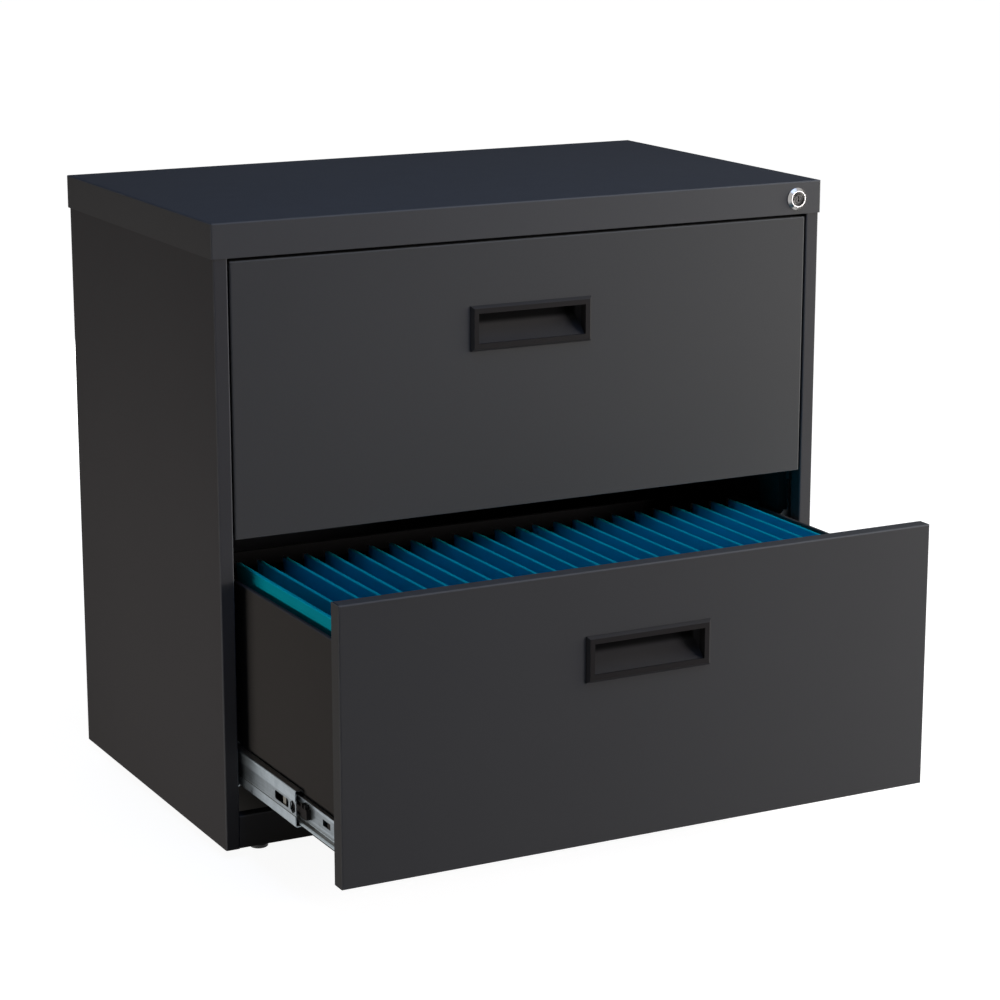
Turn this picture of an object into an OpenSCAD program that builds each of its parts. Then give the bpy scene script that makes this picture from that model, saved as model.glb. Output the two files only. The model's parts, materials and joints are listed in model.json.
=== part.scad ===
// Two-drawer steel lateral filing cabinet.
// X runs to the right, Y from front to back and Z up. The origin is on the floor under the
// middle of the whole outline, with the lower drawer standing open by open_now.

/* [Cabinet] */
// Width over the top cap
cap_w = 762; // [640:1:914]
// Depth over the top cap
cap_d = 447; // [440:1:520]
// Height from the floor to the top
cabinet_h = 705; // [690:1:760]
// Sheet steel of the case
sheet = 1; // [0.8:0.1:1.2]
// Height of the cap's folded lip
cap_lip = 38; // [32:1:48]
// Gap between the cap's side lips and the side panels
cap_fit = 1; // [0.3:0.1:1.5]
// Outside radius of the folded edges
edge_r = 2; // [1.4:0.1:2.6]
// Width of the front edge that each side panel shows
stile_w = 16.5; // [14:0.5:22]
// Depth of the return behind that edge
stile_return = 18; // [12:1:20]
// Width of the flanges folded from the case panels
flange_w = 15; // [12:1:20]

/* [Base] */
// Height of the kick panel and of the rear base rail
kick_h = 38; // [30:1:50]
// Depth of the base flanges that hold the glides
base_flange = 40; // [34:1:48]
// Height that the glides lift the case off the floor
glide_h = 10; // [8:1:14]
// Diameter of a glide's foot
glide_d = 21; // [16:1:26]
// Glide axis to the outside of the side panel
glide_inset_x = 49; // [36:1:80]
// Glide axis behind the front plane and in front of the back
glide_inset_y = 25; // [20:1:25]
// Diameter of the glide's threaded stud
stud_d = 8; // [6:1:10]
// Height of the steel bar that weighs down the back of the case
weight_h = 22; // [10:1:24]
// Length of that bar
weight_w = 600; // [300:10:620]

/* [Drawers] */
// Distance that the lower drawer stands open
open_now = 265; // [0:5:400]
// Full travel of each drawer
travel = 406; // [350:1:410]
// Gap above and below the pair of drawer fronts
reveal = 3.5; // [2:0.5:6]
// Gap between the two drawer fronts
front_gap = 7; // [4:0.5:10]
// Gap on each side of a drawer front
side_gap = 2.3; // [1.5:0.1:4]
// Depth of a drawer front's folded edges
front_d = 19.4; // [17:0.2:24]
// Width of the flange folded in behind a drawer front
back_flange = 12; // [8:1:12]
// Slit left at the upper corners of a folded drawer front
corner_slit = 0.8; // [0.4:0.1:1.2]
// Sheet steel of the drawer boxes
box_sheet = 1; // [0.8:0.1:1.2]
// Top of the drawer box below the top of its front
box_drop = 48.5; // [38:0.5:90]
// Bottom of the drawer box above the bottom of its front
box_rise = 25.5; // [20:0.5:32]
// Depth of the drawer box behind its front
box_d = 400; // [380:1:402]
// Width of the hem along the top of the box sides
hem_w = 5; // [4:0.5:8]
// Depth of that hem
hem_h = 8; // [6:0.5:12]

/* [Pulls] */
// Width of the moulded pull
pull_w = 152; // [120:1:180]
// Height of the moulded pull
pull_h = 51; // [44:1:60]
// Top edge of the pull below the top edge of its drawer front
pull_drop = 70.5; // [40:0.5:110]
// Distance that the pull's rim stands proud
pull_proud = 4; // [2:0.5:6]
// Width of the sloping outer edge of the rim
pull_bevel = 3; // [1:0.5:4]
// Width of the flat of the rim
pull_rim = 5.6; // [4:0.2:8]
// Wall of the finger cup
cup_wall = 1.8; // [1.4:0.1:2]
// Depth of the finger cup behind the face of the front
cup_depth = 15.5; // [12:0.5:15.5]
// Height of the finger space behind the upper rim
cup_lift = 3.5; // [2:0.5:4.5]
// Radius of the cup's back corners, seen from above
cup_corner = 13; // [8:1:15]

/* [Slides] */
// Width of a slide between the case and the drawer box
slide_t = 13; // [13:0.1:14]
// Slide axis above the bottom of the drawer front
slide_rise = 49.5; // [44:0.5:60]
// Height of the drawer member
inner_h = 28.4; // [26:0.2:32]
// Length of the cabinet member
rail_l = 406; // [400:1:410]
// Length of the intermediate member
mid_l = 390; // [370:1:390]
// Gap between the drawer front and the slide ends
rail_gap = 1.6; // [1:0.2:4]
// Sheet steel of the slide members
rail_t = 1.1; // [1:0.05:1.1]
// Share of the drawer's travel that the intermediate member makes
mid_share = 0.625; // [0.6:0.005:0.65]
// Diameter of the bearing balls
ball_d = 4.5; // [4.2:0.1:4.6]
// Gap between a ball and each raceway
ball_gap = 0.25; // [0.2:0.05:0.3]
// Steel of the ball cages
cage_t = 0.5; // [0.4:0.05:0.5]
// Number of balls in each row of the outer cages
outer_balls_n = 8; // [4:1:8]
// Number of balls in each row of the inner cages
inner_balls_n = 10; // [5:1:10]

/* [Posts] */
// Width of a slide post
post_w = 40; // [34:1:50]
// Front post behind the front plane
front_post_y = 44; // [40:1:60]
// Rear post behind the front plane
rear_post_y = 350; // [300:1:352]
// Sheet steel of the posts
post_t = 1.2; // [1:0.1:1.5]

/* [Lock] */
// Lock axis from the outside of the cap
lock_inset = 33; // [31:0.5:36]
// Lock axis below the top of the cap
lock_drop = 20; // [18:0.5:22]
// Diameter of the lock's bezel
bezel_d = 25.5; // [23:0.5:28]
// Diameter of the bezel's front edge
bezel_front_d = 19.6; // [18.6:0.2:22]
// Width of that edge
bezel_rim = 1.4; // [1:0.1:2]
// Distance that the bezel stands proud of the lip
bezel_proud = 4; // [2.5:0.5:5]
// Diameter of the lock barrel
barrel_d = 19; // [17:0.5:20]
// Diameter of the turning core
core_d = 12.6; // [11:0.2:13]
// Radius at which the cam's pin runs
cam_r = 9; // [8:0.2:9.6]
// Diameter of that pin
cam_pin_d = 4; // [3:0.5:4]
// Width of the lock bar
bar_w = 12; // [10:0.5:12]
// Thickness of the lock bar
bar_t = 3; // [2.5:0.1:3]
// Front face of the lock bar behind the front plane
bar_y = 26.3; // [26.2:0.1:27]

/* [Folders] */
// Number of hanging folders
folder_n = 25; // [2:1:26]
// Width left free beside the last folder
folder_spare = 40.4; // [30:0.1:200]
// Uneven spacing of the folders, each way
folder_stray = 2.6; // [0:0.1:3]
// Gap between the first folder and the hem of the box side
folder_side = 5.7; // [3:0.1:12]
// Length of a folder's leaf
folder_l = 294; // [280:1:300]
// Gap between a folder and the floor of the drawer
folder_lift = 10.5; // [4:0.5:60]
// Top of the folders above the top of the box sides
folder_rise = 15; // [4:0.5:20]
// Thickness of a leaf
leaf_t = 0.8; // [0.4:0.1:1]
// Opening between a folder's two leaves at the top
folder_gap = 4.5; // [4:0.5:9]

/* [Fits] */
// Gap round a piece that passes through sheet steel
slip = 0.3; // [0.2:0.05:0.5]
// Radial clearance of a turning fit
run = 0.08; // [0.05:0.01:0.1]

/* [Hidden] */
$fn = 48;
lower = 0;
upper = 1;
left = -1;
right = 1;
eps = 0.01;

// Case
case_d = cap_d - sheet;
side_x = cap_w / 2 - sheet - cap_fit;
mouth_x = side_x - stile_w;
inner_x = side_x - sheet;
roof_z = cabinet_h - sheet;
back_y = case_d - sheet;
panel_back_y = back_y - sheet;
base_top = glide_h + kick_h;
forward = max(open_now + pull_proud, sheet + bezel_proud);
screw_head = 2.2;
hind = max(case_d, back_y + screw_head);
front_y = (forward - hind) / 2;
cap_return = flange_w - 3;
cap_return_end = 1;
back_fit = 0.5;

// Base channels, sills, glides and counterweight
base_back_y = panel_back_y - sheet;
sill_w = 25;
sill_h = 28;
glide_x = side_x - glide_inset_x;
glide_back_y = back_y - glide_inset_y;
glide_places = [for (x = [-glide_x, glide_x], y = [glide_inset_y, glide_back_y]) [x, y]];
stud_l = 25;
nut_h = 6;
weight_d = base_flange - 8;
weight_y = base_back_y - 4 - weight_d / 2;
weight_r = 3;
weight_bolts = [-weight_w / 2 + 40, weight_w / 2 - 40];
bolt_d = 6;
bolt_head_d = 10;
bolt_head = 4;
bolt_nut_d = 11;
bolt_nut = 5;
bolt_end = 12;

// Screws of the back panel
screw_x = inner_x - 8;
screw_d = 4;
screw_head_d = 8;
screw_end = 8;
screw_cross = [4.4, 1, 1.2];
screw_rows = 4;
screw_edge = 60;
screw_step = (roof_z - glide_h - 2 * screw_edge) / (screw_rows - 1);
back_screws = [for (k = [0:screw_rows - 1]) glide_h + screw_edge + k * screw_step];

// Stiffener under the lid
hat_w = 90;
hat_h = 14;
hat_leg = 20;

// Drawer fronts and boxes
front_h = (cabinet_h - cap_lip - base_top - 2 * reveal - front_gap) / 2;
front_x = mouth_x - side_gap;
level_pitch = front_h + front_gap;
first_front_z = base_top + reveal;
rail_back_x = mouth_x - 1.8;
box_x = rail_back_x - slide_t;
box_y = front_d;
front_fit = 2;
side_fit = 0.1;
box_foot = 5.4;
box_back = box_y + box_d;
box_top = front_h - box_drop;
box_h = box_top - box_rise;
slide_y = front_d + rail_gap;

// Slide sections, measured across from the case (u) and up from the slide's axis (v)
race = ball_d + 2 * ball_gap;
mid_h = inner_h + 2 * (race + rail_t);
outer_h = mid_h + 2 * (race + rail_t);
inner_ball_v = inner_h / 2 + race / 2;
outer_ball_v = mid_h / 2 + race / 2;
curl_in = ball_d / 2 + ball_gap;
curl_out = curl_in + rail_t;
bend_r = 2.2;
web_gap = 0.3;
outer_cage_u = rail_t + web_gap;
mid_u = outer_cage_u + cage_t + web_gap;
jog = 0.9;
jog_v = 8.5;
inner_cage_u = mid_u + jog + rail_t + web_gap;
outer_ball_u = rail_t + 2 * web_gap + cage_t + 3.3;
inner_ball_u = inner_cage_u + cage_t + web_gap + curl_out + 0.1;
inner_web_u = slide_t - rail_t;
arm_end = ball_d / 2 - 0.05;

// Holes, slots and stops of the members
web_hole_d = 6;
stop_h = 18;
stop_u = 8;
mid_slot_l = 36;
mid_slot_h = 9.5;
mid_slot_end = 20;
mid_hex_d = 15;

// Ball cages stay between the members over the whole travel
mid_travel = mid_share * travel;
outer_cage_share = mid_share / 2;
inner_cage_share = (1 + mid_share) / 2;
cage_end = 3;
outer_cage_y = slide_y + outer_cage_share * travel + cage_end;
outer_cage_l = mid_l - mid_travel - 2 * cage_end;
inner_cage_y = slide_y + inner_cage_share * travel - mid_travel + cage_end;
inner_cage_l = 190;
ball_end = 7;
cage_windows = 3;

// Tabs that hook the rails into the posts and the box sides
tab_l = 19;
tab_h = 7;
tab_lip = 5;
rail_hole_y = 33;
rear_tab_y = 300;
drawer_tabs = [front_d + rail_hole_y, front_d + rear_tab_y];

// Ladder of slots in the posts, with a slot for each rail's tab
post_foot = 10;
post_top_gap = 16;
slot_from = 8;
slot_to = 27;
slot_step = 45;
first_slot_z = first_front_z + slide_rise;
post_slots = [for (base = [first_slot_z, first_slot_z + level_pitch], k = [-1:3]) base + slot_step * k];
post_tabs = [for (from = [front_post_y, rear_post_y]) from + slot_to - 0.8 - tab_l - rail_t];

// Release levers
lever_y = 142;
lever_l = 40;
lever_h = 16;
lever_t = 4.8;
lever_nose = 15;
lever_step = 3.5;
lever_arm = 7;
lever_eye = 13;
rivet_d = 3.6;
rivet_head = 0.8;
lever_u = inner_web_u - lever_t - 0.2;

// Pull
rim_step = 1;
cup_hole_gap = 0.4;
cup_flat = 0.05;
cup_w = pull_w - 2 * (pull_bevel + pull_rim);
cup_h = pull_h - 2 * (pull_bevel + pull_rim);
pull_mid = front_h - pull_drop - pull_h / 2;
cup_low = pull_mid - cup_h / 2;
cup_high = pull_mid + cup_h / 2;
cup_start = -pull_proud / 4;
cup_turn = cup_high + cup_lift;
cup_fall = cup_turn - cup_low;
floor_y = (cup_depth + cup_start - cup_fall * cup_fall / (cup_depth - cup_start)) / 2;
floor_r = cup_depth - floor_y;

// Lock
lock_x = cap_w / 2 - lock_inset;
lock_z = cabinet_h - lock_drop;
barrel_end = 22;
lock_nut_t = 4;
tail_w = 6;
tail_fit = 0.05;
keyway_depth = 7;
keyway_t = 1.6;
keyway_h = 8;
bezel_edge = 0.6;
core_recess = 1;
core_proud = 0.3;
core_land = 0.9;
cam_t = 2.5;
cam_y = barrel_end + 0.8;
cam_hub_r = 7.5;
cam_arm_w = 7;
cam_rest = 45;

// Strikers on the drawer boxes, behind the dropped hooks
striker_drop = 10;
striker_top = box_top - striker_drop;
striker_h = 14;
striker_t = 1.5;
striker_y = bar_y + bar_t + 2;
striker_l = 20;

// The cam's pin drops the bar by twice its height above the lock's axis
bar_x = mouth_x + 1.8;
pin_play = 0.7;
prong = 3.5;
fork_z = lock_z + cam_r * sin(cam_rest);
fork_x = lock_x + cam_r * cos(cam_rest) - cam_pin_d / 2 - 0.6;
hook_h = 8;
hook_reach = 11;
hook_chamfer = 4.2;
hook_clear = 3;
hook_low = [for (level = [lower, upper])
    first_front_z + level * level_pitch + striker_top + hook_clear];
striker_end = bar_x - 5;
guide_h = 12;
guide_wall = 1.3;
guide_play = 0.4;
guide_rise = 45;
guide_mid = (hook_low[lower] + hook_low[upper]) / 2;
guide_places = [hook_low[lower] + guide_rise, guide_mid, hook_low[upper] + guide_rise];

// Hang rails and folders
hang_t = 1.5;
hang_y = box_y + box_sheet + 1.6;
leaf_y = hang_y + hang_t + 2.5;
hang_back_y = leaf_y + folder_l + 2.5;
leaf_top = box_top + folder_rise;
hang_top = leaf_top - 7;
hang_low = box_top - 16;
leaf_taper = 1;
hanger_t = 0.8;
hanger_gap = 0.1;
hanger_drop = 4;
hanger_end = 1.2;
folder_x = hem_w - box_x + folder_side;
folder_pitch = (2 * (box_x - hem_w) - folder_side - folder_spare - folder_gap) / (folder_n - 1);
folder_xs = [for (k = [0:folder_n - 1])
    folder_x + k * folder_pitch + folder_stray * sin(k * (209 + 106 * k))];

// ---- Helpers --------------------------------------------------------------------------

// A block between two opposite corners
module block(lo, hi) {
    translate(lo) cube(hi - lo);
}

// Extrude an outline drawn in X and Z along Y
module along_y(from, to) {
    translate([0, to, 0]) rotate([90, 0, 0]) linear_extrude(to - from) children();
}

// Extrude an outline drawn in Y and Z along X
module along_x(from, to) {
    translate([from, 0, 0]) rotate([90, 0, 90]) linear_extrude(to - from) children();
}

// Extrude an outline drawn in X and Y along Z
module along_z(from, to) {
    translate([0, 0, from]) linear_extrude(to - from) children();
}

// A round bar along Y
module pin_y(x, z, d, from, to) {
    translate([x, to, z]) rotate([90, 0, 0]) cylinder(d = d, h = to - from);
}

// Rectangle between two corners with every corner rounded
module rounded(lo, hi, r) {
    translate([lo[0], lo[1] + r]) square([hi[0] - lo[0], hi[1] - lo[1] - 2 * r]);
    translate([lo[0] + r, lo[1]]) square([hi[0] - lo[0] - 2 * r, hi[1] - lo[1]]);
    for (x = [lo[0] + r, hi[0] - r], y = [lo[1] + r, hi[1] - r]) translate([x, y]) circle(r);
}

// Rectangle with a folded sheet's thickness all round
module folded_ring(lo, hi, r, t) {
    difference() {
        rounded(lo, hi, r);
        rounded(lo + [t, t], hi - [t, t], r - t);
    }
}

// One quarter of a ring in the quadrant named by the signs of qx and qy
module quarter_ring(r_in, r_out, qx, qy) {
    intersection() {
        difference() {
            circle(r_out);
            circle(r_in);
        }
        translate([min(0, qx * r_out), min(0, qy * r_out)]) square(r_out);
    }
}

// Pieces of the right-hand side, mirrored for the left
module on_side(side) {
    if (side < 0) mirror([1, 0, 0]) children();
    else children();
}

// The case's own space: Y starts at the front plane, Z at the floor
module in_case() {
    translate([0, front_y, 0]) children();
}

// The share of the drawer's present opening that a piece has moved
function opened(level) = level == lower ? open_now : 0;
function front_z(level) = first_front_z + level * level_pitch;

// A drawer's space: Z starts at the bottom of its front, moved out by a share of its opening
module in_drawer(level, share = 1) {
    translate([0, front_y - share * opened(level), front_z(level)]) children();
}

// The space of a slide: X is measured from the rail's back towards the drawer
module in_slide(level, side, share) {
    in_drawer(level, share) on_side(side)
        translate([rail_back_x, 0, slide_rise]) mirror([1, 0, 0]) children();
}

// ---- Case -----------------------------------------------------------------------------

// Folded lid with rounded edges, an inward fold under the front lip and the lock's hole
module top_cap() {
    half = cap_w / 2;
    low = cabinet_h - cap_lip;
    color("#35373d") in_case() difference() {
        union() {
            difference() {
                intersection() {
                    along_z(low, cabinet_h) rounded([-half, -sheet], [half, case_d], edge_r);
                    along_y(-sheet, case_d)
                        rounded([-half, low - 2 * edge_r], [half, cabinet_h], edge_r);
                    along_x(-half, half)
                        rounded([-sheet, low - 2 * edge_r], [case_d, cabinet_h], edge_r);
                }
                block([-half + sheet, 0, low - eps], [half - sheet, back_y, roof_z]);
            }
            block([-mouth_x + cap_return_end, -sheet / 2, low],
                  [mouth_x - cap_return_end, cap_return, low + sheet]);
        }
        pin_y(lock_x, lock_z, barrel_d + slip, -2 * sheet, sheet);
    }
}

// Hat channel under the middle of the lid
module top_stiffener() {
    crown_w = hat_w - 2 * hat_leg;
    color("#3a3a3c") in_case() translate([0, case_d / 2, roof_z]) along_x(-inner_x + slip, inner_x - slip)
        difference() {
            union() {
                translate([-hat_w / 2, -sheet]) square([hat_w, sheet]);
                translate([-crown_w / 2, -hat_h]) square([crown_w, hat_h]);
            }
            translate([-crown_w / 2 + sheet, -hat_h + sheet]) square([crown_w - 2 * sheet, hat_h]);
        }
}

// One sheet folded into the side, the front edge beside the drawers and the rear flange
module side_panel(side) {
    color("#332f30") in_case() on_side(side) difference() {
        along_z(glide_h, roof_z) difference() {
            folded_ring([mouth_x, 0], [side_x, panel_back_y], edge_r, sheet);
            translate([mouth_x - eps, stile_return])
                square([edge_r, panel_back_y - sheet - stile_return]);
        }
        for (z = back_screws) pin_y(screw_x, z, screw_d + slip, panel_back_y - 2 * sheet, back_y);
    }
}

// Flat back with a flange along its top, screwed to the flanges of the side panels
module back_panel() {
    wide = inner_x - back_fit;
    color("#333236") in_case() difference() {
        union() {
            block([-wide, panel_back_y, glide_h], [wide, back_y, roof_z]);
            block([-mouth_x + back_fit, back_y - flange_w, roof_z - sheet],
                  [mouth_x - back_fit, back_y, roof_z]);
        }
        for (x = [-screw_x, screw_x], z = back_screws)
            pin_y(x, z, screw_d + slip, panel_back_y - sheet, back_y + sheet);
    }
}

// Front base channel that shows below the drawers and holds the front glides
module kick_panel() {
    color("#2e2b2c") in_case() difference() {
        union() {
            along_x(-mouth_x, mouth_x) difference() {
                rounded([0, glide_h], [base_flange, base_top], edge_r);
                rounded([sheet, glide_h + sheet], [base_flange - sheet, base_top - sheet], edge_r - sheet);
                translate([base_flange - edge_r, glide_h + sheet]) square([edge_r + sheet, kick_h]);
                translate([flange_w, base_top - edge_r]) square([base_flange, edge_r + sheet]);
            }
            for (side = [left, right]) on_side(side)
                block([mouth_x - sheet, sheet / 2, glide_h + sheet / 2],
                      [mouth_x, flange_w, base_top - sheet / 2]);
        }
        for (x = [-glide_x, glide_x]) translate([x, glide_inset_y, glide_h - 1])
            cylinder(d = stud_d + slip, h = sheet + 2);
    }
}

// Rear base channel, open to the front, with the rear glides' holes
module rear_base_rail() {
    from = base_back_y - base_flange;
    color("#39393b") in_case() difference() {
        along_x(-inner_x + edge_r, inner_x - edge_r) difference() {
            rounded([from, glide_h], [base_back_y, base_top], edge_r);
            translate([from - 1, glide_h + sheet]) square([base_flange + 1 - sheet, kick_h - 2 * sheet]);
        }
        for (x = [-glide_x, glide_x]) translate([x, glide_back_y, glide_h - 1])
            cylinder(d = stud_d + slip, h = sheet + 2);
        for (x = weight_bolts) translate([x, weight_y, base_top - sheet - 1])
            cylinder(d = bolt_d + slip, h = sheet + 2);
    }
}

// Angles along the bottom of the side panels, between the front and rear base channels
module base_sills() {
    color("#39393b") in_case() for (side = [left, right]) on_side(side)
        along_y(base_flange, base_back_y - base_flange) difference() {
            rounded([inner_x - sill_w, glide_h], [inner_x, glide_h + sill_h], edge_r);
            translate([inner_x - sill_w - 1, glide_h + sheet]) square([sill_w + 1 - sheet, sill_h]);
        }
}

// Hat-section upright with a ladder of slots for the slides' tabs
module post(side, from) {
    to = from + post_w;
    color("#3c3c3e") in_case() on_side(side) difference() {
        along_z(glide_h + sill_h, roof_z - post_top_gap) {
            translate([rail_back_x, from]) square([post_t, post_w]);
            for (y = [from, to - post_t])
                translate([rail_back_x, y]) square([inner_x - rail_back_x, post_t]);
            for (y = [from - post_foot, to - post_t])
                translate([inner_x - post_t, y]) square([post_t, post_foot + post_t]);
        }
        for (z = post_slots) block([rail_back_x - 1, from + slot_from, z - tab_h / 2 - slip],
                                   [rail_back_x + post_t + 1, from + slot_to, z + tab_h / 2 + slip]);
    }
}

// Steel bar bolted to the rear base rail, which keeps the case from tipping
module counterweight() {
    color("#4a4a4a") in_case() difference() {
        translate([0, weight_y, base_top]) along_z(0, weight_h)
            rounded([-weight_w / 2, -weight_d / 2], [weight_w / 2, weight_d / 2], weight_r);
        for (x = weight_bolts) translate([x, weight_y, base_top - 1])
            cylinder(d = bolt_d + slip, h = weight_h + 2);
    }
}

// Levelling feet with threaded studs
module levelling_glides() {
    foot_r = glide_d / 2;
    neck_r = stud_d / 2 + 3;
    color("#1c1c1d") in_case() for (p = glide_places) translate([p[0], p[1], 0]) {
        rotate_extrude() polygon([[0, 0], [foot_r - 1, 0], [foot_r, 1], [foot_r, 4], [foot_r - 3, 6],
            [neck_r, 6], [neck_r, glide_h], [0, glide_h]]);
        translate([0, 0, glide_h - 1]) cylinder(d = stud_d, h = stud_l);
    }
}

// Nuts that lock the studs to the base channels
module glide_nuts() {
    color("#a8a8ac") in_case() for (p = glide_places)
        translate([p[0], p[1], glide_h + sheet]) difference() {
            cylinder(d = 1.9 * stud_d, h = nut_h, $fn = 6);
            translate([0, 0, -1]) cylinder(d = stud_d + 2 * run, h = nut_h + 2);
        }
}

// Screws of the back panel and bolts of the counterweight
module case_screws() {
    color("#b4b4b8") in_case() {
        for (x = [-screw_x, screw_x], z = back_screws) {
            pin_y(x, z, screw_d, panel_back_y - screw_end, back_y + eps);
            difference() {
                pin_y(x, z, screw_head_d, back_y, back_y + screw_head);
                for (turn = [0, 90]) translate([x, back_y + screw_head, z]) rotate([0, turn, 0])
                    cube([screw_cross[0], 2 * screw_cross[2], screw_cross[1]], center = true);
            }
        }
        for (x = weight_bolts) translate([x, weight_y, base_top]) {
            translate([0, 0, -bolt_end]) cylinder(d = bolt_d, h = weight_h + bolt_end + eps);
            translate([0, 0, weight_h]) cylinder(d = bolt_head_d, h = bolt_head, $fn = 6);
            translate([0, 0, -sheet - bolt_nut]) cylinder(d = bolt_nut_d, h = bolt_nut, $fn = 6);
        }
    }
}

// ---- Lock -----------------------------------------------------------------------------

// Barrel with a raised, chamfered ring round its dished face
module lock_housing() {
    foot = bezel_d / 2;
    rim = bezel_front_d / 2;
    face = -sheet - bezel_proud;
    color("#c9cacb") in_case() difference() {
        union() {
            translate([lock_x, -sheet, lock_z]) rotate([90, 0, 0]) rotate_extrude() polygon([
                [0, 0], [foot, 0], [foot, bezel_edge], [rim, bezel_proud - bezel_edge],
                [rim - bezel_edge / 2, bezel_proud], [0, bezel_proud]]);
            pin_y(lock_x, lock_z, barrel_d, -sheet - eps, barrel_end);
        }
        pin_y(lock_x, lock_z, core_d + 2 * run, face - 1, barrel_end + 1);
        pin_y(lock_x, lock_z, bezel_front_d - 2 * bezel_rim, face - 1, face + core_recess);
    }
}

// Nut that holds the barrel in the lip
module lock_nut() {
    color("#9a9b9e") in_case() translate([lock_x, lock_nut_t, lock_z]) rotate([90, 0, 0])
        difference() {
            cylinder(d = 1.2 * barrel_d, h = lock_nut_t, $fn = 6);
            translate([0, 0, -1]) cylinder(d = barrel_d + 2 * run, h = lock_nut_t + 2);
        }
}

// Turning core with its keyway and the squared tail that drives the cam
module lock_core() {
    face = -sheet - bezel_proud + core_recess - core_proud;
    half = tail_w / 2;
    ring = core_d / 2 - core_land;
    color("#8d8e90") in_case() difference() {
        union() {
            pin_y(lock_x, lock_z, core_d, face, barrel_end + 0.4);
            block([lock_x - half, barrel_end, lock_z - half], [lock_x + half, cam_y + cam_t, lock_z + half]);
        }
        translate([lock_x, 0, lock_z]) {
            block([-keyway_t / 2, face - 1, -keyway_h / 2],
                  [keyway_t / 2, face + keyway_depth, keyway_h / 2]);
            translate([-keyway_t / 2, 0, -keyway_t / 2])
                block([-keyway_t / 2, face - 1, -keyway_t / 4], [0, face + keyway_depth, keyway_t / 4]);
            translate([0, face + core_proud, 0]) rotate([90, 0, 0]) difference() {
                cylinder(r = ring, h = 1);
                translate([0, 0, -1]) cylinder(r = ring - core_land, h = 3);
            }
        }
    }
}

// Cam whose pin lifts and drops the lock bar
module lock_cam() {
    hole = tail_w + 2 * tail_fit;
    pin_x = lock_x + cam_r * cos(cam_rest);
    pin_z = lock_z + cam_r * sin(cam_rest);
    color("#b9babd") in_case() {
        difference() {
            union() {
                pin_y(lock_x, lock_z, 2 * cam_hub_r, cam_y, cam_y + cam_t);
                pin_y(pin_x, pin_z, cam_arm_w, cam_y, cam_y + cam_t);
                translate([lock_x, cam_y, lock_z]) rotate([0, -cam_rest, 0])
                    translate([0, 0, -cam_arm_w / 2]) cube([cam_r, cam_t, cam_arm_w]);
            }
            translate([lock_x, cam_y + cam_t / 2, lock_z]) cube([hole, 2 * cam_t, hole], center = true);
        }
        pin_y(pin_x, pin_z, cam_pin_d, cam_y + cam_t - eps, bar_y + bar_t + 1);
    }
}

// Sliding bar with a fork for the cam's pin and one hook for each drawer
module lock_bar() {
    slot = cam_pin_d + 2 * pin_play;
    slot_end = lock_x + cam_r + cam_pin_d / 2 + 0.6;
    top = fork_z + slot / 2 + prong;
    color("#a3a6aa") in_case() along_y(bar_y, bar_y + bar_t) difference() {
        union() {
            translate([bar_x, hook_low[lower]]) square([bar_w, top - hook_low[lower]]);
            translate([fork_x, fork_z - slot / 2 - prong])
                square([bar_x + 1 - fork_x, slot + 2 * prong]);
            for (z = hook_low) translate([bar_x - hook_reach, z]) square([hook_reach + 1, hook_h]);
        }
        translate([fork_x - 1, fork_z - slot / 2]) square([slot_end - fork_x + 1, slot]);
        for (z = hook_low) translate([bar_x - hook_reach, z + hook_h])
            polygon([[-1, 1], [-1, -hook_chamfer], [0, -hook_chamfer], [hook_chamfer, 0], [hook_chamfer, 1]]);
    }
}

// Loops on the side panel that the lock bar slides through
module lock_bar_guides() {
    play = guide_play;
    skin = guide_play + guide_wall;
    color("#3b3b3d") in_case() for (z = guide_places) along_z(z, z + guide_h) difference() {
        translate([bar_x - skin, bar_y - skin]) square([inner_x - bar_x + skin, bar_t + 2 * skin]);
        translate([bar_x - play, bar_y - play]) square([bar_w + 2 * play, bar_t + 2 * play]);
    }
}

// ---- Slides ---------------------------------------------------------------------------

// Both halves of a slide section, above and below its axis
module both_halves() {
    children();
    mirror([0, 1]) children();
}

// Channel half with a flange that curls over the drawer side of its balls
module outer_half(back, height, ball_u) {
    translate([back, 0]) square([rail_t, height / 2 - bend_r]);
    translate([back + bend_r, height / 2 - bend_r]) quarter_ring(bend_r - rail_t, bend_r, -1, 1);
    translate([back + bend_r, height / 2 - rail_t]) square([ball_u - back - bend_r, rail_t]);
    translate([ball_u, height / 2 - rail_t - curl_in]) quarter_ring(curl_in, curl_out, 1, 1);
}

// Drawer member half with a flange that cups its balls from below
module inner_half() {
    translate([inner_web_u, 0]) square([rail_t, inner_h / 2 - bend_r]);
    translate([slide_t - bend_r, inner_h / 2 - bend_r]) quarter_ring(bend_r - rail_t, bend_r, 1, 1);
    translate([inner_ball_u, inner_h / 2 - rail_t]) square([slide_t - bend_r - inner_ball_u, rail_t]);
    translate([inner_ball_u, inner_h / 2 + curl_in]) intersection() {
        quarter_ring(curl_in, curl_out, -1, -1);
        translate([-curl_out, -curl_out]) square([curl_out, curl_out - cage_t / 2 - 0.6]);
    }
}

// Window in a member's web, whose outer face is at u = web
module tab_window(y, web) {
    block([web - rail_t - 1, y, -tab_h / 2], [web + rail_t + 1, y + tab_l, tab_h / 2]);
}

// Tab pushed out of that window in the direction out, hooked behind the next sheet
module tab(y, web, out, next) {
    reach = next + slip + rail_t;
    ends = [web - out * rail_t, web + out * reach];
    lips = [web + out * (next + slip), web + out * reach];
    block([min(ends), y + tab_l - eps, -tab_h / 2], [max(ends), y + tab_l + rail_t, tab_h / 2]);
    block([min(lips), y + tab_l - eps, -tab_h / 2], [max(lips), y + tab_l + rail_t + tab_lip, tab_h / 2]);
}

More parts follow.
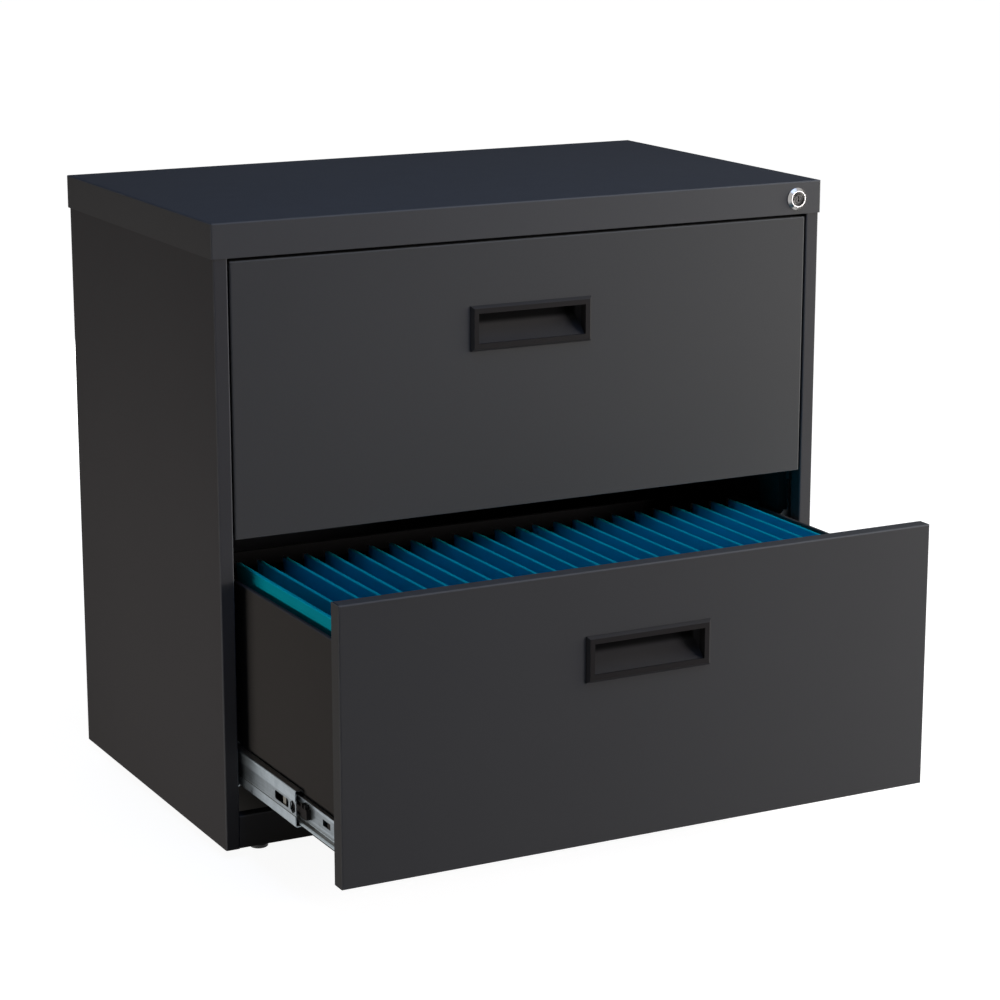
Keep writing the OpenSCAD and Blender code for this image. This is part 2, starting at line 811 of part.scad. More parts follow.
// Round hole through a web whose lower face is at u
module web_hole(u, y) {
    translate([u - 1, y, 0]) rotate([0, 90, 0]) cylinder(d = web_hole_d, h = rail_t + 2);
}

// Cabinet member: hooked into the posts, with a stop folded up at its rear end
module cabinet_rail(level, side) {
    color("#aab4bb") in_slide(level, side, 0) {
        difference() {
            along_y(slide_y, slide_y + rail_l) both_halves() outer_half(0, outer_h, outer_ball_u);
            for (y = post_tabs) tab_window(y, 0);
            for (y = [front_post_y + post_w + 25 : 45 : rear_post_y - 30]) web_hole(0, y);
        }
        for (y = post_tabs) tab(y, 0, -1, post_t);
        block([rail_t / 2, slide_y + rail_l - rail_t, -stop_h / 2], [stop_u, slide_y + rail_l, stop_h / 2]);
    }
}

// Intermediate member: raceway bands above and below a web that steps towards the drawer
module middle_rail(level, side) {
    color("#b4bec5") in_slide(level, side, mid_share) difference() {
        along_y(slide_y, slide_y + mid_l) both_halves() difference() {
            union() {
                outer_half(mid_u, mid_h, inner_ball_u);
                translate([mid_u + jog, 0]) square([rail_t, jog_v]);
                translate([mid_u, jog_v]) square([jog + rail_t, rail_t]);
            }
            translate([mid_u - 1, -1]) square([jog + 1, jog_v + 1]);
        }
        for (y = [slide_y + mid_slot_end, slide_y + mid_l - mid_slot_end - mid_slot_l])
            along_x(mid_u, mid_u + 5) rounded([y, -mid_slot_h / 2], [y + mid_slot_l, mid_slot_h / 2], 2.5);
        translate([mid_u, slide_y + 9, 0]) rotate([0, 90, 0]) cylinder(d = mid_hex_d, h = 5, $fn = 6);
    }
}

// Drawer member: a flat web on the box side, with the lever's rivet in its channel
module drawer_rail(level, side) {
    length = box_d - 2 * rail_gap;
    color("#b4bec5") in_slide(level, side, 1) {
        difference() {
            along_y(slide_y, slide_y + length) both_halves() inner_half();
            for (y = drawer_tabs) tab_window(y, slide_t);
            for (y = [slide_y + length / 2, slide_y + 0.6 * length]) web_hole(inner_web_u, y);
        }
        for (y = drawer_tabs) tab(y, slide_t, 1, box_sheet);
        translate([lever_u - rivet_head, lever_y, 0]) rotate([0, 90, 0]) {
            cylinder(d = rivet_d, h = inner_web_u - lever_u + rivet_head + eps);
            cylinder(d = rivet_d + 3, h = rivet_head - 0.2);
        }
    }
}

// Moulded lever that frees the drawer from its slide, one on each side
module release_levers(level) {
    start = lever_y - lever_l;
    color("#1d1e20") for (side = [left, right]) in_slide(level, side, 1)
        along_x(lever_u, lever_u + lever_t) difference() {
            union() {
                translate([lever_y, 0]) circle(d = lever_eye);
                translate([start, -lever_arm / 2]) square([lever_l, lever_arm]);
                translate([start, -lever_h / 2]) {
                    rounded([lever_step, 0], [lever_nose, lever_h], 2);
                    rounded([0, 0], [lever_nose, lever_h / 2 + 1.5], 2);
                }
            }
            translate([lever_y, 0]) circle(d = rivet_d + 2 * run);
            translate([start + lever_step + 3, 3]) rounded([0, 0], [5, lever_h / 2 + 1], 1);
        }
}

function ball_y(start, length, count, k) =
    start + ball_end + k * (length - 2 * ball_end) / (count - 1);

// Cage section: a thin web with an arm above and below, and a pocket for each ball
module cage(start, length, count, web_u, ball_u, ball_v) {
    difference() {
        union() {
            block([web_u, start, -ball_v - cage_t / 2],
                  [web_u + cage_t, start + length, ball_v + cage_t / 2]);
            for (v = [-ball_v, ball_v]) block([web_u, start, v - cage_t / 2],
                                              [ball_u + arm_end, start + length, v + cage_t / 2]);
        }
        for (k = [0:count - 1], v = [-ball_v, ball_v])
            translate([ball_u, ball_y(start, length, count, k), v - 1])
                cylinder(d = ball_d + 0.4, h = 2);
        for (k = [0:cage_windows - 1])
            block([web_u - 1, start + length * (k + 0.12) / cage_windows, -ball_v * 0.7],
                  [web_u + 1, start + length * (k + 0.88) / cage_windows, ball_v * 0.7]);
    }
}

// The balls of one cage, in two rows
module balls(start, length, count, ball_u, ball_v) {
    for (k = [0:count - 1], v = [-ball_v, ball_v])
        translate([ball_u, ball_y(start, length, count, k), v]) sphere(d = ball_d);
}

module outer_cages(level) {
    color("#c8c9a8") for (side = [left, right]) in_slide(level, side, outer_cage_share)
        cage(outer_cage_y, outer_cage_l, outer_balls_n, outer_cage_u, outer_ball_u, outer_ball_v);
}

module inner_cages(level) {
    color("#c8c9a8") for (side = [left, right]) in_slide(level, side, inner_cage_share)
        cage(inner_cage_y, inner_cage_l, inner_balls_n, inner_cage_u, inner_ball_u, inner_ball_v);
}

module outer_balls(level) {
    color("#dfe3e6") for (side = [left, right]) in_slide(level, side, outer_cage_share)
        balls(outer_cage_y, outer_cage_l, outer_balls_n, outer_ball_u, outer_ball_v);
}

module inner_balls(level) {
    color("#dfe3e6") for (side = [left, right]) in_slide(level, side, inner_cage_share)
        balls(inner_cage_y, inner_cage_l, inner_balls_n, inner_ball_u, inner_ball_v);
}

// ---- Drawers --------------------------------------------------------------------------

// Space of the finger cup grown by a wall: its floor is an arc that rises towards the back
module cup_space(wall, from, to) {
    intersection() {
        along_x(-cup_w / 2 - wall, cup_w / 2 + wall) intersection() {
            translate([from, cup_low - wall]) square([to - from, cup_fall + 2 * wall]);
            translate([floor_y, cup_turn]) circle(r = floor_r + wall, $fn = 96);
        }
        along_z(cup_low - wall - 1, cup_turn + wall + 1) cup_plan(wall, from, to - cup_flat);
    }
}

// Plan of the cup, with both back corners rounded
module cup_plan(wall, from, to) {
    w = cup_w / 2 + wall;
    r = cup_corner + wall;
    translate([-w, from]) square([2 * w, to - r - from]);
    translate([-w + r, from]) square([2 * (w - r), to - from]);
    for (x = [-w + r, w - r]) translate([x, to - r]) circle(r);
}

// Drawer front folded from one sheet: face, four returned edges and narrow back flanges
module drawer_front(level) {
    edge = front_d - sheet;
    hole_x = cup_w / 2 + cup_wall + cup_hole_gap;
    color("#424244") in_drawer(level) difference() {
        intersection() {
            along_z(0, front_h) rounded([-front_x, 0], [front_x, front_d], edge_r);
            along_x(-front_x, front_x) rounded([0, 0], [front_d, front_h], edge_r);
            along_y(0, front_d) rounded([-front_x, 0], [front_x, front_h], edge_r / 2);
        }
        block([-front_x + sheet, sheet, sheet], [front_x - sheet, edge, front_h - sheet]);
        block([-front_x + back_flange, edge - 1, back_flange],
              [front_x - back_flange, front_d + 1, front_h - back_flange]);
        for (side = [left, right]) on_side(side) {
            block([front_x - sheet - corner_slit, edge_r, front_h - sheet - slip],
                  [front_x - sheet, front_d + 1, front_h + 1]);
            block([front_x - back_flange - 1, edge - eps, front_h - sheet - corner_slit],
                  [front_x - sheet, front_d + 1, front_h - sheet]);
        }
        block([-hole_x, -1, cup_low - cup_wall - cup_hole_gap],
              [hole_x, sheet + 1, cup_turn + cup_wall + cup_hole_gap]);
    }
}

// Moulded pull: bevelled rim and a finger cup with a rising, curved floor
module pull(level) {
    w = pull_w / 2;
    low = pull_mid - pull_h / 2;
    high = pull_mid + pull_h / 2;
    color("#232325") in_drawer(level) difference() {
        union() {
            intersection() {
                along_z(low, high) polygon([[-w, 0], [-w, -rim_step], [-w + pull_bevel, -pull_proud],
                    [w - pull_bevel, -pull_proud], [w, -rim_step], [w, 0]]);
                along_x(-w, w) polygon([[0, low], [-rim_step, low], [-pull_proud, low + pull_bevel],
                    [-pull_proud, high - pull_bevel], [-rim_step, high], [0, high]]);
            }
            intersection() {
                cup_space(cup_wall, -1, cup_depth + cup_wall);
                block([-cap_w, -1, 0], [cap_w, front_d, front_h]);
            }
        }
        intersection() {
            cup_space(0, -pull_proud - 1, cup_depth);
            block([-cap_w, 0, 0], [cap_w, front_d, front_h]);
        }
        intersection() {
            cup_space(0, -pull_proud - 1, cup_depth);
            block([-cap_w, -pull_proud - 1, 0], [cap_w, eps, cup_high]);
        }
    }
}

// Front wall, floor and back of the drawer box, folded from one sheet
module drawer_tray(level) {
    high = front_h - sheet - front_fit;
    back = box_back - box_sheet;
    hem_x = box_x - box_sheet - side_fit;
    color("#39393b") in_drawer(level) {
        along_x(-box_x, box_x) difference() {
            rounded([box_y, box_rise], [box_back, high], edge_r);
            rounded([box_y + box_sheet, box_rise + box_sheet], [back, high + 2 * edge_r], edge_r - box_sheet);
            translate([box_y + box_sheet, box_top]) square([box_d, front_h]);
        }
        block([-hem_x, back - hem_w, box_top - box_sheet], [hem_x, back + eps, box_top]);
    }
}

// Box side with a hem along the top, a foot on the tray and slots for the rail's tabs
module box_side(level, side) {
    from = box_y + box_sheet + side_fit;
    to = box_back - box_sheet - side_fit;
    floor_z = box_rise + box_sheet;
    relief = edge_r - box_sheet;
    skin = box_x - box_sheet;
    hem_x = box_x - hem_w;
    color("#3a3736") in_drawer(level) on_side(side) difference() {
        union() {
            along_y(from, to) difference() {
                rounded([box_x - box_foot, floor_z], [box_x, box_top], edge_r);
                rounded([box_x - 2 * box_foot, floor_z + box_sheet], [skin, box_top - box_sheet],
                    edge_r - box_sheet);
                translate([box_x - box_foot - 1, floor_z + box_sheet])
                    square([box_foot + 1 - hem_w, box_h]);
            }
            along_y(from, to - hem_w)
                translate([hem_x, box_top - hem_h]) square([box_sheet, hem_h - box_sheet / 2]);
        }
        block([hem_x - 1, to - hem_w - slip, box_top - box_sheet - slip], [skin, to + 1, box_top + 1]);
        for (y = [from - 1, to - relief]) block([box_x - box_foot - 1, y, floor_z - 1],
                                                [box_x + 1, y + 1 + relief, floor_z + relief]);
        for (y = drawer_tabs) block([skin - 1, y + tab_l / 2, slide_rise - tab_h / 2 - slip],
                                    [box_x + 1, y + tab_l + rail_t + slip, slide_rise + tab_h / 2 + slip]);
    }
}

// Angle on the right-hand box side that the lock bar's hook drops in front of
module striker(level) {
    low = striker_top - striker_h;
    color("#9ba0a4") in_drawer(level) {
        block([box_x, striker_y, low], [striker_end, striker_y + striker_t, striker_top]);
        block([box_x, striker_y, low], [box_x + striker_t, striker_y + striker_l, striker_top]);
    }
}

// Front and rear rails between the box sides, which carry the folders' hooks
module hang_rails(level) {
    reach = box_x - hem_w;
    skin = box_x - box_sheet;
    color("#56585b") in_drawer(level) for (y = [hang_y, hang_back_y]) along_y(y, y + hang_t) {
        translate([-reach, hang_low]) square([2 * reach, hang_top - hang_low]);
        translate([-skin, hang_low]) square([2 * skin, box_top - hem_h - slip - hang_low]);
    }
}

// ---- Folders --------------------------------------------------------------------------

// Each folder is one sheet that runs down one leaf, round the bottom and up the other
module hanging_folders() {
    low = box_rise + box_sheet + folder_lift;
    color("#0f5f86") in_drawer(lower) for (x = folder_xs) translate([x, 0, 0])
        along_y(leaf_y, leaf_y + folder_l) difference() {
            polygon([[0, leaf_top], [leaf_taper, low], [folder_gap - leaf_taper, low],
                [folder_gap, leaf_top]]);
            polygon([[leaf_t, leaf_top + 1], [leaf_taper + leaf_t, low + leaf_t],
                [folder_gap - leaf_taper - leaf_t, low + leaf_t], [folder_gap - leaf_t, leaf_top + 1]]);
        }
}

// Flat bars inside the top of each leaf, hooked over both hang rails
module folder_hanger_bars() {
    low = hang_top - hanger_drop;
    high = leaf_top - hanger_t;
    start = hang_y - slip - hanger_end;
    end = hang_back_y + hang_t + slip + hanger_end;
    inset = leaf_t + hanger_gap;
    color("#8f9499") in_drawer(lower) for (x = folder_xs, s = [inset, folder_gap - inset - hanger_t])
        translate([x, 0, 0]) along_x(s, s + hanger_t) difference() {
            translate([start, low]) square([end - start, high - low]);
            for (y = [hang_y, hang_back_y])
                translate([y - slip, low - 1]) square([hang_t + 2 * slip, hang_top - low + 1]);
        }
}

// ---- Assembly -------------------------------------------------------------------------

top_cap();
top_stiffener();
side_panel(left);  // left_side_panel
side_panel(right);  // right_side_panel
back_panel();
kick_panel();
rear_base_rail();
base_sills();
post(left, front_post_y);  // left_front_post
post(left, rear_post_y);  // left_rear_post
post(right, front_post_y);  // right_front_post
post(right, rear_post_y);  // right_rear_post
counterweight();
levelling_glides();
glide_nuts();
case_screws();
lock_housing();
lock_nut();
lock_core();
lock_cam();
lock_bar();
lock_bar_guides();
cabinet_rail(upper, left);  // upper_left_cabinet_rail
cabinet_rail(upper, right);  // upper_right_cabinet_rail
cabinet_rail(lower, left);  // lower_left_cabinet_rail
cabinet_rail(lower, right);  // lower_right_cabinet_rail
middle_rail(upper, left);  // upper_left_middle_rail
middle_rail(upper, right);  // upper_right_middle_rail
middle_rail(lower, left);  // lower_left_middle_rail
middle_rail(lower, right);  // lower_right_middle_rail
drawer_rail(upper, left);  // upper_left_drawer_rail
drawer_rail(upper, right);  // upper_right_drawer_rail
drawer_rail(lower, left);  // lower_left_drawer_rail
drawer_rail(lower, right);  // lower_right_drawer_rail
outer_cages(upper);  // upper_outer_cages
outer_cages(lower);  // lower_outer_cages
inner_cages(upper);  // upper_inner_cages
inner_cages(lower);  // lower_inner_cages
outer_balls(upper);  // upper_outer_balls
outer_balls(lower);  // lower_outer_balls
inner_balls(upper);  // upper_inner_balls
inner_balls(lower);  // lower_inner_balls
release_levers(upper);  // upper_release_levers
release_levers(lower);  // lower_release_levers
drawer_front(upper);  // upper_drawer_front
drawer_front(lower);  // lower_drawer_front
drawer_tray(upper);  // upper_drawer_tray
drawer_tray(lower);  // lower_drawer_tray
box_side(upper, left);  // upper_left_box_side
box_side(upper, right);  // upper_right_box_side
box_side(lower, left);  // lower_left_box_side
box_side(lower, right);  // lower_right_box_side
pull(upper);  // upper_pull
pull(lower);  // lower_pull
striker(upper);  // upper_striker
striker(lower);  // lower_striker
hang_rails(upper);  // upper_hang_rails
hang_rails(lower);  // lower_hang_rails
hanging_folders();
folder_hanger_bars();
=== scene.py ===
"""Finishes, hanging folders and stage of a two-drawer lateral filing cabinet."""

import json
import math
import random

import bmesh
import bpy
from bpy.props import FloatProperty, FloatVectorProperty, IntProperty, PointerProperty
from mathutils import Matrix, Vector


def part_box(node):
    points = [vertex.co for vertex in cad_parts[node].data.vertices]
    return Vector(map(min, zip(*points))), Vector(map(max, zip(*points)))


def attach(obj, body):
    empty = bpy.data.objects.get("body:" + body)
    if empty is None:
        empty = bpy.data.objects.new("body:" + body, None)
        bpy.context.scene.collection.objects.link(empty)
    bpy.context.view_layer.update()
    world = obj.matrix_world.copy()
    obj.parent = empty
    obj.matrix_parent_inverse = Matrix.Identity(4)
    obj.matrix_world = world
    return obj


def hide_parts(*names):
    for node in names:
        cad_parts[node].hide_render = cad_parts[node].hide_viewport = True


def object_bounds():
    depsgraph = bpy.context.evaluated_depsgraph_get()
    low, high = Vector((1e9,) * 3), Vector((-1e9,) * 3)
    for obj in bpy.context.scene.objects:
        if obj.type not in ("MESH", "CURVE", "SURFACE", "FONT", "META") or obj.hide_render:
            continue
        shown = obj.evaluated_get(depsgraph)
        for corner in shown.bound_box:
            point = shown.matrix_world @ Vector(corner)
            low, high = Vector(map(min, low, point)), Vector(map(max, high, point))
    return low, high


bl_info = {
    "name": "Lateral filing cabinet",
    "version": (1, 0, 0),
    "blender": (4, 5, 0),
    "location": "3D View > Sidebar > Cabinet",
    "description": "Finishes, hanging folders and studio for a two-drawer lateral file",
    "category": "Object",
}

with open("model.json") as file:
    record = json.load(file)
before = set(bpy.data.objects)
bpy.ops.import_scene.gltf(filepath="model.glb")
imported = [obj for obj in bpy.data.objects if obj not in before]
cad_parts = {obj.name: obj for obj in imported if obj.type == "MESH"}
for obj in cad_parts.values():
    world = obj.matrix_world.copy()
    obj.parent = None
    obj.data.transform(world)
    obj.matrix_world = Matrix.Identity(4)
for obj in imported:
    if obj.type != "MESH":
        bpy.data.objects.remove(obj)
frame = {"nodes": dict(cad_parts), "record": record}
CAD_LOW, CAD_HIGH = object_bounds()
SLOT_OF = {part["node"]: part["material_slot"] for part in frame["record"]["subparts"]}

MM = 0.001


# ---- Properties ---------------------------------------------------------------------------


def colour(label, description, default):
    """A colour property with its default in linear red, green and blue."""
    return FloatVectorProperty(
        name=label,
        description=description,
        subtype="COLOR",
        size=3,
        min=0.0,
        max=1.0,
        default=default,
    )


def length(label, description, millimetres):
    """A length property with its default in millimetres."""
    return FloatProperty(
        name=label,
        description=description,
        subtype="DISTANCE",
        unit="LENGTH",
        min=0.0,
        default=millimetres * MM,
    )


class CabinetFinish(bpy.types.PropertyGroup):
    """Colours and textures of the cabinet's own surfaces."""

    case_paint: colour("Case paint", "Powder coat of the case", (0.050, 0.049, 0.051))
    cap_paint: colour("Cap paint", "Powder coat of the top cap", (0.062, 0.062, 0.064))
    front_paint: colour("Front paint", "Powder coat of the drawer fronts", (0.056, 0.056, 0.057))
    inner_paint: colour("Inner paint", "Powder coat inside and on the boxes", (0.040, 0.038, 0.037))
    # Edge colour: partly a thinner coat on the folds, partly a painted highlight on the rounds.
    edge_wear_and_highlight_paint: colour("Edge paint", "Thin coat along the folded edges", (0.105, 0.107, 0.112))
    dust: colour("Dust", "Dust that settles on upward faces", (0.20, 0.20, 0.21))
    zinc: colour("Zinc", "Bright zinc plate of the slides", (0.27, 0.305, 0.325))
    cage_zinc: colour("Cage zinc", "Yellow zinc plate of the ball cages", (0.13, 0.12, 0.095))
    oil_film: colour("Oil film", "Old oil on the upward faces of the slides", (0.17, 0.14, 0.11))
    nickel: colour("Nickel", "Plate of the lock's ring", (0.38, 0.37, 0.36))
    plastic: colour("Plastic", "Moulded plastic of the pulls and levers", (0.019, 0.0175, 0.0175))
    iron: colour("Iron", "Primer on the counterweight", (0.045, 0.043, 0.042))


class FolderFinish(bpy.types.PropertyGroup):
    """Colours and hang of the folders."""

    card: colour("Card", "Dyed card of the folders", (0.0, 0.30, 0.52))
    # Colour along the top fold: a painted highlight on the folders' lit top edges.
    top_highlight: colour("Top Highlight", "Card along the fold over the hanger bars", (0.0, 0.36, 0.46))
    # A teal copy of the card for the first folder: painted light on its lit outer leaf.
    lit_first_card: colour("First card", "Card of the first folder", (0.0, 0.235, 0.30))
    sheet: length("Sheet", "Thickness of the card", 0.45)
    bow: length("Bow", "How far a leaf bows between its ends", 0.9)
    sag: length("Sag", "How far a leaf bulges half-way down", 1.6)
    seed: IntProperty(name="Seed", description="Which uneven hang the folders have", default=7)


class StageSettings(bpy.types.PropertyGroup):
    """Camera, lamps and floor."""

    lens: FloatProperty(
        name="Lens",
        description="Focal length in millimetres",
        subtype="DISTANCE_CAMERA",
        default=105.4,
    )
    turn: FloatProperty(
        name="Turn",
        description="Camera's turn from the depth axis",
        subtype="ANGLE",
        default=math.radians(27.62),
    )
    tilt: FloatProperty(
        name="Tilt",
        description="Camera's tilt below the horizon",
        subtype="ANGLE",
        default=math.radians(13.69),
    )
    place: FloatVectorProperty(
        name="Place",
        description="Camera's place",
        subtype="TRANSLATION",
        unit="LENGTH",
        default=(-1.5213, -2.9214, 1.1482),
    )
    floor_tone: FloatProperty(
        name="Floor tone", description="How much light the floor sends back", default=0.35
    )
    floor_size: FloatProperty(
        name="Floor size", description="Side of the floor", unit="LENGTH", default=30.0
    )
    ambient: FloatProperty(
        name="Ambient", description="Strength of the plain light from all round", default=0.04
    )


# ---- Node helpers -------------------------------------------------------------------------

# Ranges over which a face counts as facing up, and as a round between flat faces.
UPWARD = (0.8, 1.0)
ROUND = (0.995, 0.93)


def add(tree, kind, sockets=None, **settings):
    """Add a node. A socket given an output is linked to it, and any other is set."""
    new = tree.nodes.new(kind)
    for name, value in settings.items():
        setattr(new, name, value)
    for key, value in (sockets or {}).items():
        if isinstance(value, bpy.types.NodeSocket):
            tree.links.new(value, new.inputs[key])
        else:
            new.inputs[key].default_value = value
    return new


def maths(tree, operation, lit_first, second=0.0, third=0.0):
    """Output of a Math node."""
    sockets = {0: lit_first, 1: second, 2: third}
    return add(tree, "ShaderNodeMath", sockets, operation=operation).outputs[0]


def remap(tree, value, low, high, to_low=0.0, to_high=1.0):
    """Output of a smooth Map Range node."""
    sockets = {
        "Value": value,
        "From Min": low,
        "From Max": high,
        "To Min": to_low,
        "To Max": to_high,
    }
    node = add(tree, "ShaderNodeMapRange", sockets, interpolation_type="SMOOTHSTEP")
    return node.outputs["Result"]


def stray(tree, texture, amount, middle):
    """A value that strays from its middle as the texture strays from a half."""
    return maths(tree, "MULTIPLY_ADD", maths(tree, "SUBTRACT", texture, 0.5), amount, middle)


def tone_under(tree, mask, tone):
    """The tone where the mask is 1, and 1 where it is 0."""
    return maths(tree, "MULTIPLY_ADD", mask, maths(tree, "SUBTRACT", tone, 1.0), 1.0)


def mix(tree, factor, lit_first, second):
    """Output of a colour Mix node."""
    node = add(tree, "ShaderNodeMix", data_type="RGBA")
    for key, value in ((0, factor), (6, lit_first), (7, second)):
        if isinstance(value, bpy.types.NodeSocket):
            tree.links.new(value, node.inputs[key])
        else:
            node.inputs[key].default_value = value if key == 0 else (*value[:3], 1.0)
    return node.outputs[2]


def scaled(tree, base, tone):
    """A colour made lighter or darker by a tone."""
    sockets = {0: base, "Scale": tone}
    return add(tree, "ShaderNodeVectorMath", sockets, operation="SCALE").outputs["Vector"]


def noise(tree, vector, scale, detail, roughness=0.5):
    """Factor output of a Noise Texture."""
    sockets = {"Vector": vector, "Scale": scale, "Detail": detail, "Roughness": roughness}
    return add(tree, "ShaderNodeTexNoise", sockets).outputs["Fac"]


def cells(tree, vector, scale):
    """Distance output of a Voronoi Texture."""
    sockets = {"Vector": vector, "Scale": scale}
    return add(tree, "ShaderNodeTexVoronoi", sockets).outputs["Distance"]


def parts_of(tree, vector):
    """X, Y and Z outputs of a vector."""
    return add(tree, "ShaderNodeSeparateXYZ", {"Vector": vector}).outputs


def drawn_out(tree, vector, run):
    """Coordinates that change slowly in depth, for a grain that runs that way."""
    sockets = {"Vector": vector, "Scale": (1.0, run, 1.0)}
    return add(tree, "ShaderNodeMapping", sockets).outputs["Vector"]


def object_coordinates(tree):
    """Coordinates in metres that stay with the piece."""
    return add(tree, "ShaderNodeTexCoord").outputs["Object"]


def facing_up(tree):
    """1 on upward faces and 0 on upright ones."""
    normal = add(tree, "ShaderNodeTexCoord").outputs["Normal"]
    return remap(tree, parts_of(tree, normal)[2], *UPWARD)


def fold_mask(tree):
    """1 on the rounds between faces that lie along the axes, and 0 on those faces."""
    normal = add(tree, "ShaderNodeTexCoord").outputs["Normal"]
    size = add(tree, "ShaderNodeVectorMath", {0: normal}, operation="ABSOLUTE").outputs["Vector"]
    parts = parts_of(tree, size)
    flat = maths(tree, "MAXIMUM", maths(tree, "MAXIMUM", parts[0], parts[1]), parts[2])
    return remap(tree, flat, *ROUND)


def seen_rays(tree):
    """1 for rays from the camera and for those that gloss and glass send on."""
    rays = add(tree, "ShaderNodeLightPath").outputs
    glossy = maths(tree, "MAXIMUM", rays["Is Camera Ray"], rays["Is Glossy Ray"])
    return maths(tree, "MAXIMUM", glossy, rays["Is Transmission Ray"])


def new_group(name, inputs):
    """A shader node group with named sockets, and the socket collections inside it."""
    group = bpy.data.node_groups.new(name, "ShaderNodeTree")
    for label, value in inputs.items():
        kind = "NodeSocketColor" if isinstance(value, tuple) else "NodeSocketFloat"
        socket = group.interface.new_socket(name=label, in_out="INPUT", socket_type=kind)
        socket.default_value = (*value, 1.0) if isinstance(value, tuple) else value
    for label in ("Color", "Roughness", "Height"):
        kind = "NodeSocketColor" if label == "Color" else "NodeSocketFloat"
        group.interface.new_socket(name=label, in_out="OUTPUT", socket_type=kind)
    given = group.nodes.new("NodeGroupInput").outputs
    result = group.nodes.new("NodeGroupOutput").inputs
    return group, given, result


def give(group, result, **values):
    """Link values to a group's output sockets."""
    for label, value in values.items():
        group.links.new(value, result[label])


# ---- Node groups --------------------------------------------------------------------------

# Scale, detail and roughness of each noise.
MOTTLE = (3.5, 3.0)
SMUDGE = (38.0, 4.0, 0.6)
SPECKLE = (1500.0, 1.0)
PEEL = (620.0, 3.0, 0.6)
STREAK = (900.0, 3.0, 0.6)
CLOUD = (75.0, 4.0, 0.62)
FLOW = (24.0, 3.0)
FIBRE = (1400.0, 3.0, 0.7)
PATCH = (18.0, 2.0)

# Scales of the zinc's spangle and of the plastic's spark texture.
SPANGLE = 420.0
SPARK = 1300.0

# How slowly streaks and fibres change in depth.
STREAK_RUN = 0.035
FIBRE_RUN = 0.3

# How strongly the speckle shows against the mottle.
SPECKLE_SHARE = 1.6
# How far spangle, flow marks and patches move the tone.
SPANGLE_TONE = 0.06
FLOW_TONE = 0.16
PATCH_TONE = 0.2
# How far smudges, cloud and flow marks move the roughness.
SMUDGE_GLOSS = 0.16
CLOUD_GLOSS = 0.3
FLOW_GLOSS = 0.14
# Smudge that breaks up the thinner coat and painted highlight on a fold, and how much of the edge's
# colour shows there.
EDGE_WEAR_AND_HIGHLIGHT = (0.25, 0.7, 0.75, 1.0)
# Smudge that holds dust.
DUSTY = (0.35, 0.75)
# Cloud noise that dulls the plating.
CLOUDY = (0.35, 0.7)
# Where the web's painted darker reflection begins to fade, as a share of its half height.
WEB_FADE = 0.8
# Depths behind a pull's mouth between which the painted shade under the top bar sets in.
HOLLOW_SHADE_DEPTHS = (15.5 * MM, 17.8 * MM)
# Fibre noise, and the roughness of the card at each end of it.
CARD_ROUGHNESS = (0.2, 0.8, 0.6, 0.8)


def powder_group():
    """Powder coat: fine orange peel, faint mottle, a thinner coat and painted highlight on the
    folds, and dust.
    """
    inputs = {
        "Paint": (0.05, 0.05, 0.05),
        "Edge": (0.1, 0.1, 0.1),
        "Dust": (0.2, 0.2, 0.2),
        "Edge Amount": 0.6,
        "Dust Amount": 0.03,
        "Mottle": 0.08,
        "Roughness": 0.55,
        "Peel": 0.5,
    }
    group, given, result = new_group("Powder coat", inputs)
    where = object_coordinates(group)
    smudge = noise(group, where, *SMUDGE)
    mottled = stray(group, noise(group, where, *MOTTLE), given["Mottle"], 1.0)
    speckles = maths(group, "MULTIPLY", given["Mottle"], SPECKLE_SHARE)
    tone = stray(group, noise(group, where, *SPECKLE), speckles, mottled)
    # The folds' rounds get the lighter edge colour: a thinner coat there, and a painted highlight.
    edge = maths(group, "MULTIPLY", fold_mask(group), given["Edge Amount"])
    worn = maths(group, "MULTIPLY", edge, remap(group, smudge, *EDGE_WEAR_AND_HIGHLIGHT))
    edge_worn_and_lit = mix(group, worn, scaled(group, given["Paint"], tone), given["Edge"])
    held = maths(group, "MULTIPLY", remap(group, smudge, *DUSTY), given["Dust Amount"])
    settled = maths(group, "MULTIPLY", facing_up(group), held)
    give(
        group,
        result,
        Color=mix(group, settled, edge_worn_and_lit, given["Dust"]),
        Roughness=stray(group, smudge, SMUDGE_GLOSS, given["Roughness"]),
        Height=maths(group, "MULTIPLY", noise(group, where, *PEEL), given["Peel"]),
    )
    return group


